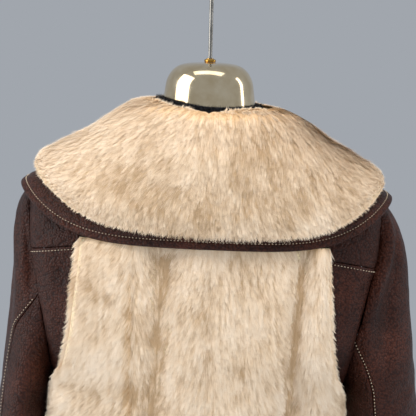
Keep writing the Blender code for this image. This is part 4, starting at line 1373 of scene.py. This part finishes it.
def collar_hair(side, sign, number, settings, hair):
    """The hair on one half of the collar."""
    part = np.linspace(0.05, COLLAR_END - 1.5, 120)[None, :]
    turned, share = collar_grid(np.linspace(0, 0.995, 60)[:, None], part, sign)
    u, v = scatter(collar_surface, turned, share, settings.collar_hairs, 111 + number)
    row = v / rim_share(u, fur_inset(u))
    normal = collar_normal(u, v)
    base = collar_surface(u, v) + COLLAR_GAP * normal
    x, z = base[:, 0], base[:, 2]
    out = unit(collar_surface(u, v + 0.02) - collar_surface(u, v - 0.02))
    aside = unit(np.cross(normal, out))
    across = collar_surface(u + 0.5, v) - collar_surface(u - 0.5, v)
    aside *= np.sign((aside * across).sum(-1, keepdims=True))
    angles, turns = zip(*[flow_row[1:] for flow_row in COLLAR_FLOW if flow_row[0] == side])
    turn = np.interp(np.abs(u), angles, turns) * smooth_step((0.97 - row) / 0.35)
    turn = np.radians(turn + 8 * noise(x, z, 36, 121))
    flow = np.cos(turn)[:, None] * out + sign * np.sin(turn)[:, None] * aside
    # The hair hangs over the leather at the border, and along the neck it stands up or turns back.
    run = HAIR_RUN + RUN_SPREAD * noise(x, z, 40, 124)
    run = run + (overhang(u) - run) * smooth_step((row - 0.78) / 0.2)
    turned_up = 1.5 - 0.95 * smooth_step((np.abs(u) - 42) / 26) - 0.5 * smooth_step((20 - np.abs(u)) / 14)
    upright = smooth_step((0.25 - row) / 0.2)
    crown = collar_crown(u, v, flow, run * (1 - turned_up * upright))
    streak = noise(2.3 * u, 40 * row, 3.4, 127)
    lumps = 1.9 * noise(x, z, 40, 122) + 0.6 * noise(x, z, 14, 123) + 0.7 * streak
    lumps += 5 * upright * smooth_step((58 - np.abs(u)) / 24) * smooth_step((np.abs(u) - 3) / 18)
    crown += lumps[:, None] * normal
    # Some hairs cross the seam at the centre back.
    crossing = np.random.default_rng(128 + number).normal(0, 2.5, len(u)) * ridge(u, 0, 1.5)
    crown += crossing[:, None] * aside
    # Where the hair runs over the collar's crest it lies flatter, so that its lit side shows.
    flatter = 0.14 * smooth_step((0.5 - row) / 0.3) * smooth_step((row - 0.02) / 0.1)
    lift = (ROOT_LIFT + flatter)[:, None]
    shade = collar_shade(u, row) + 0.22 * streak
    shade += 0.22 * noise(x, z, 46, 125) + 0.12 * noise(x, z, 17, 126)
    name, seed = f"collar_hair_{side}", 131 + 2 * number
    return pile_hairs(name, base, normal, crown, lift, shade, settings, hair, seed)


def make_collar_fur(settings, hair, wool):
    """The collar's two pelts, joined at the centre back, and the hair on each."""
    for number, (side, sign) in enumerate(SIDES):
        pelt = collar_pelt(side, sign, number, wool)
        pile = collar_hair(side, sign, number, settings, hair)


# ------------------------------------------------------------------ the neck band
BAND_RADIUS = 67.0
BAND_THICK = 5.0
BAND_TALL = 17.0
BAND_FOOT = -11.0
BAND_RIBS = 84
FLUFF_HAIRS = 9000
FLUFF_WIDTH = 0.6


def band_sag(turn):
    """How far the band lies above or below its level place: it dips at the nape and leans to the right."""
    return 2.9 * np.cos(turn) - 1.6 - 5.2 * np.maximum(np.sin(turn), 0) ** 3


def make_neck_band(knit):
    """The black ribbed band inside the collar: a twisted rib, with the fluff that a brushed knit has."""
    a = np.linspace(0, 2 * np.pi, 420, endpoint=False)[:, None]
    bend = np.linspace(0, 2 * np.pi, 12, endpoint=False)[None, :]
    rib = 0.45 * np.sin(BAND_RIBS * a + 2.2 * np.sin(bend))
    across = np.sign(np.cos(bend)) * np.abs(np.cos(bend)) ** 0.6
    upward = np.sign(np.sin(bend)) * np.abs(np.sin(bend)) ** 0.6
    r = BAND_RADIUS + (BAND_THICK / 2 - 0.3 + rib) * across
    z = BAND_FOOT + BAND_TALL / 2 + (BAND_TALL / 2 - 0.4 + 0.6 * rib) * upward + band_sag(a)
    rings = stack(r * np.cos(a), r * np.sin(a), z)
    band = link("neck_band_knit", tube_mesh("neck_band_knit", rings, closed=True), knit, "neck_band")
    rng = np.random.default_rng(141)
    turn, lift = rng.uniform(0, 2 * np.pi, FLUFF_HAIRS), rng.uniform(0, 1.0, FLUFF_HAIRS)
    normal = unit(stack(np.cos(turn) * (1.1 - lift), np.sin(turn) * (1.1 - lift), lift + 0.1))
    r = BAND_RADIUS + 1.6
    roots = stack(r * np.cos(turn), r * np.sin(turn), BAND_FOOT + BAND_TALL * (0.4 + 0.52 * lift))
    roots[:, 2] += band_sag(turn)
    length = rng.uniform(1.5, 4.0, FLUFF_HAIRS)[:, None]
    tips = roots + normal * length + rng.normal(0, 0.9, (FLUFF_HAIRS, 3))
    width = np.full(FLUFF_HAIRS, FLUFF_WIDTH)
    fluff = hairs("neck_band_fluff", roots, tips, normal, width, rng.random(FLUFF_HAIRS), knit)


# ------------------------------------------------------------------ the dress form and its rod
ROUND_COLUMNS = ("height", "radius")
CAP_ROWS = (
    (-9.0, 61.0),
    (4.0, 60.3),
    (18.0, 58.7),
    (29.0, 56.8),
    (38.0, 52.9),
    (45.0, 47.2),
    (50.0, 39.5),
    (52.8, 28.0),
    (54.0, 12.0),
    (54.1, 0.6),
)
FERRULE_ROWS = (
    (54.3, 6.9),
    (54.8, 7.5),
    (56.3, 7.7),
    (57.6, 7.4),
    (58.1, 6.6),
    (58.2, 5.0),
    (59.2, 4.7),
    (59.4, 2.9),
)
# The middle of the rod up to its hook, as how far it lies to the wearer's left and how high.
ROD_ROWS = ((0, 59.6), (0, 100), (0, 140), (1.5, 150), (6, 160), (13.5, 170), (18.5, 178))
HOOK_RADIUS = 20.0
HOOK_CENTRE = 185.0
ROD_RADIUS = 2.75


def start_round(name, radius, z, sides):
    """Adds a disc to model from, with all else deselected, and leaves it in edit mode."""
    bpy.ops.object.select_all(action="DESELECT")
    bpy.ops.mesh.primitive_circle_add(
        vertices=sides, radius=radius * MM, fill_type="NGON", location=(0, 0, (z - NAPE) * MM)
    )
    piece = bpy.context.object
    piece.name = piece.data.name = name
    bpy.ops.object.transform_apply(location=True, rotation=True, scale=True)
    bpy.ops.object.mode_set(mode="EDIT")
    bpy.ops.mesh.select_all(action="SELECT")
    return piece


def finish_round(piece, material, replaced, sharp=45):
    """Turns a modelled piece's faces outwards, smooths it and puts it in place of its node."""
    bpy.ops.mesh.select_all(action="SELECT")
    bpy.ops.mesh.normals_make_consistent(inside=False)
    bpy.ops.object.mode_set(mode="OBJECT")
    bpy.ops.object.shade_smooth_by_angle(angle=math.radians(sharp))
    piece.data.materials.append(material)
    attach(piece, "root")
    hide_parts(replaced)
    return piece


def turned_round(name, rows, sides, material, replaced, sharp=45):
    """A piece spun on a lathe, extruded up a profile of heights and radii."""
    heights, radii = column(rows, ROUND_COLUMNS, "height"), column(rows, ROUND_COLUMNS, "radius")
    piece = start_round(name, radii[0], heights[0], sides)
    for k in range(1, len(rows)):
        rise = (heights[k] - heights[k - 1]) * MM
        bpy.ops.mesh.extrude_region_move(TRANSFORM_OT_translate={"value": (0, 0, rise)})
        scale = radii[k] / radii[k - 1]
        centre = (0, 0, (heights[k] - NAPE) * MM)
        bpy.ops.transform.resize(value=(scale, scale, 1), center_override=centre)
    return finish_round(piece, material, replaced, sharp)


def make_form():
    """The polished neck cap, its ferrule and the rod with its hook, and the covered torso's jersey."""
    along = np.linspace(0, 1, 34)
    place_at = np.linspace(0, 1, len(CAP_ROWS))
    smooth = [
        smooth_curve(place_at, column(CAP_ROWS, ROUND_COLUMNS, name))(along) for name in ROUND_COLUMNS
    ]
    turned_round("neck_cap_shell", list(zip(*smooth)), 96, finish(polished_nickel), "neck_cap", sharp=60)
    turned_round("rod_ferrule", FERRULE_ROWS, 40, finish(turned_brass), "cap_ferrule")
    turns = np.radians(np.arange(0, 206, 6))
    arc = [(HOOK_RADIUS * math.cos(t), HOOK_CENTRE + HOOK_RADIUS * math.sin(t)) for t in turns]
    path = np.array([*ROD_ROWS, *arc])
    piece = start_round("rod_with_hook", ROD_RADIUS, path[0, 1], 18)
    heading = 0.0
    for k in range(1, len(path)):
        step = (path[k] - path[k - 1]) * MM
        bpy.ops.mesh.extrude_region_move(TRANSFORM_OT_translate={"value": (step[0], 0, step[1])})
        ahead = path[min(k + 1, len(path) - 1)] - path[k - 1]
        wanted = math.atan2(ahead[0], ahead[1])
        centre = (path[k, 0] * MM, 0, (path[k, 1] - NAPE) * MM)
        bpy.ops.transform.rotate(value=wanted - heading, orient_axis="Y", center_override=centre)
        heading = wanted
    finish_round(piece, finish(drawn_steel), "hanging_rod")
    torso = bpy.data.objects["form_torso"]
    for slot in torso.material_slots:
        slot.material = finish(cotton_jersey)


# ------------------------------------------------------------------ the stage
CAMERA_LENS = 156.7
CAMERA_AIM = (-0.0023, 0.100, -0.33025)
CAMERA_DISTANCE = 2.3
CAMERA_RISE = 6.0
CAMERA_ROLL = 1.5
FLOOR_RADIUS = 2.3
FLOOR_HEIGHT = -1.15
# Each light's name, place, aim, width, height, power and colour, and whether the metal mirrors it.
LIGHTS = (
    ("key_overhead", (0.1, 1.5, 2.1), (0, 0.08, -0.25), 2.6, 1.1, 74, "#FFFAF4", False),
    ("band_overhead", (0.05, 0.4, 1.65), (0, 0, 0), 2.0, 0.7, 7, "#FFFFFF", True),
    ("softbox_left", (1.95, 0.55, 0.2), (0.1, 0.05, -0.3), 1.5, 2.8, 37, "#FFFFFF", True),
    ("strip_right", (-1.95, -0.1, 0.1), (-0.1, 0.05, -0.3), 0.22, 2.0, 6, "#FFFFFF", True),
    ("front_fill", (0.3, -2.4, 1.3), (0, 0, -0.35), 1.8, 1.4, 46, "#FFFFFF", False),
    ("camera_fill", (-0.9, 2.6, -0.3), (0, 0, -0.35), 1.6, 1.6, 27, "#FFFFFF", False),
)


def make_stage(floor_paint):
    """A pale floor, soft lights, a grey surround and the camera where the photograph was taken from."""
    bpy.ops.object.select_all(action="DESELECT")
    bpy.ops.mesh.primitive_circle_add(
        vertices=96, radius=FLOOR_RADIUS, fill_type="NGON", location=(0, 0, FLOOR_HEIGHT)
    )
    floor = bpy.context.object
    floor.name = "studio_floor"
    floor.data.materials.append(floor_paint)
    for name, where, aim, width, height, power, colour, mirrored in LIGHTS:
        data = bpy.data.lights.new(name, "AREA")
        data.shape, data.size, data.size_y, data.energy = "RECTANGLE", width, height, power
        data.color = linear(colour)[:3]
        lamp = bpy.data.objects.new(name, data)
        bpy.context.scene.collection.objects.link(lamp)
        lamp.location = where
        lamp.rotation_euler = (Vector(aim) - Vector(where)).to_track_quat("-Z", "Y").to_euler()
        lamp.visible_glossy = mirrored
    world = bpy.data.worlds.new("studio_surround")
    bpy.context.scene.world = world
    world.use_nodes = True
    tree = world.node_tree
    tree.nodes.clear()
    grey = add_node(tree, "ShaderNodeBackground", {"Color": linear("#A1A6AD"), "Strength": 1.0})
    add_node(tree, "ShaderNodeOutputWorld", {"Surface": grey.outputs["Background"]})

    rise, roll = math.radians(CAMERA_RISE), math.radians(CAMERA_ROLL)
    level, upward = Vector((-1, 0, 0)), Vector((0, -math.sin(rise), math.cos(rise)))
    right = math.cos(roll) * level + math.sin(roll) * upward
    up = math.cos(roll) * upward - math.sin(roll) * level
    toward = right.cross(up)
    data = bpy.data.cameras.new("photo_camera")
    data.lens = CAMERA_LENS
    camera = bpy.data.objects.new("photo_camera", data)
    bpy.context.scene.collection.objects.link(camera)
    turned = Matrix((right, up, toward)).transposed().to_4x4()
    camera.matrix_world = Matrix.Translation(Vector(CAMERA_AIM) + CAMERA_DISTANCE * toward) @ turned
    bpy.context.scene.camera = camera
    bpy.context.scene.view_settings.view_transform = "Standard"


# ------------------------------------------------------------------ the operators
class JACKET_OT_form(bpy.types.Operator):
    """Make the neck cap, the ferrule and the rod, and cover the torso"""

    bl_idname = "jacket.form"
    bl_label = "Dress form and rod"

    def execute(self, context):
        make_form()
        return {"FINISHED"}


class JACKET_OT_body(bpy.types.Operator):
    """Make the leather yoke, side backs and fronts"""

    bl_idname = "jacket.body"
    bl_label = "Leather body"

    def execute(self, context):
        make_body(finish(pebbled_cowhide))
        return {"FINISHED"}


class JACKET_OT_sleeves(bpy.types.Operator):
    """Make the upper and under sleeves"""

    bl_idname = "jacket.sleeves"
    bl_label = "Leather sleeves"

    def execute(self, context):
        make_sleeves(finish(pebbled_cowhide))
        return {"FINISHED"}


class JACKET_OT_collar_leather(bpy.types.Operator):
    """Make the under collar and the collar's rolled edge"""

    bl_idname = "jacket.collar_leather"
    bl_label = "Collar leather"

    def execute(self, context):
        make_collar_leather(finish(pebbled_cowhide), context.scene.jacket.stitch / MM)
        return {"FINISHED"}


class JACKET_OT_stitches(bpy.types.Operator):
    """Sew the topstitching along the edge and the seams"""

    bl_idname = "jacket.stitches"
    bl_label = "Topstitching"

    def execute(self, context):
        make_stitches(finish(waxed_thread), context.scene.jacket.stitch / MM)
        return {"FINISHED"}


class JACKET_OT_back_fur(bpy.types.Operator):
    """Make the back's pelt and its hair"""

    bl_idname = "jacket.back_fur"
    bl_label = "Back fur"

    def execute(self, context):
        make_back_fur(context.scene.jacket, finish(combed_shearling), finish(shearling_underwool))
        return {"FINISHED"}


class JACKET_OT_collar_fur(bpy.types.Operator):
    """Make the collar's two pelts and their hair"""

    bl_idname = "jacket.collar_fur"
    bl_label = "Collar fur"

    def execute(self, context):
        make_collar_fur(context.scene.jacket, finish(combed_shearling), finish(shearling_underwool))
        return {"FINISHED"}


class JACKET_OT_neck_band(bpy.types.Operator):
    """Knit the black band inside the collar"""

    bl_idname = "jacket.neck_band"
    bl_label = "Neck band"

    def execute(self, context):
        make_neck_band(finish(brushed_rib_knit))
        return {"FINISHED"}


class JACKET_OT_stage(bpy.types.Operator):
    """Set the floor, the lights and the camera"""

    bl_idname = "jacket.stage"
    bl_label = "Studio"

    def execute(self, context):
        make_stage(finish(painted_floor))
        return {"FINISHED"}


class JACKET_PT_panel(bpy.types.Panel):
    """The jacket's settings and steps"""

    bl_label = "Fur Collar Jacket"
    bl_idname = "JACKET_PT_panel"
    bl_space_type = "VIEW_3D"
    bl_region_type = "UI"
    bl_category = "Jacket"

    def draw(self, context):
        for name in JacketSettings.__annotations__:
            self.layout.prop(context.scene.jacket, name)
        for operator in OPERATORS:
            self.layout.operator(operator.bl_idname)


OPERATORS = (
    JACKET_OT_form,
    JACKET_OT_body,
    JACKET_OT_sleeves,
    JACKET_OT_collar_leather,
    JACKET_OT_stitches,
    JACKET_OT_back_fur,
    JACKET_OT_collar_fur,
    JACKET_OT_neck_band,
    JACKET_OT_stage,
)
CLASSES = (JacketSettings, *OPERATORS, JACKET_PT_panel)


def register():
    """Registers the classes and gives the scene the jacket's settings."""
    for kind in CLASSES:
        bpy.utils.register_class(kind)
    bpy.types.Scene.jacket = PointerProperty(type=JacketSettings)


def unregister():
    """Takes the settings and the classes away again."""
    del bpy.types.Scene.jacket
    for kind in reversed(CLASSES):
        bpy.utils.unregister_class(kind)


def main():
    """Makes every piece and the stage."""
    register()
    bpy.ops.jacket.form()
    bpy.ops.jacket.body()
    bpy.ops.jacket.sleeves()
    bpy.ops.jacket.collar_leather()
    bpy.ops.jacket.stitches()
    bpy.ops.jacket.back_fur()
    bpy.ops.jacket.collar_fur()
    bpy.ops.jacket.neck_band()
    bpy.ops.jacket.stage()


if __name__ == "__main__":
    main()
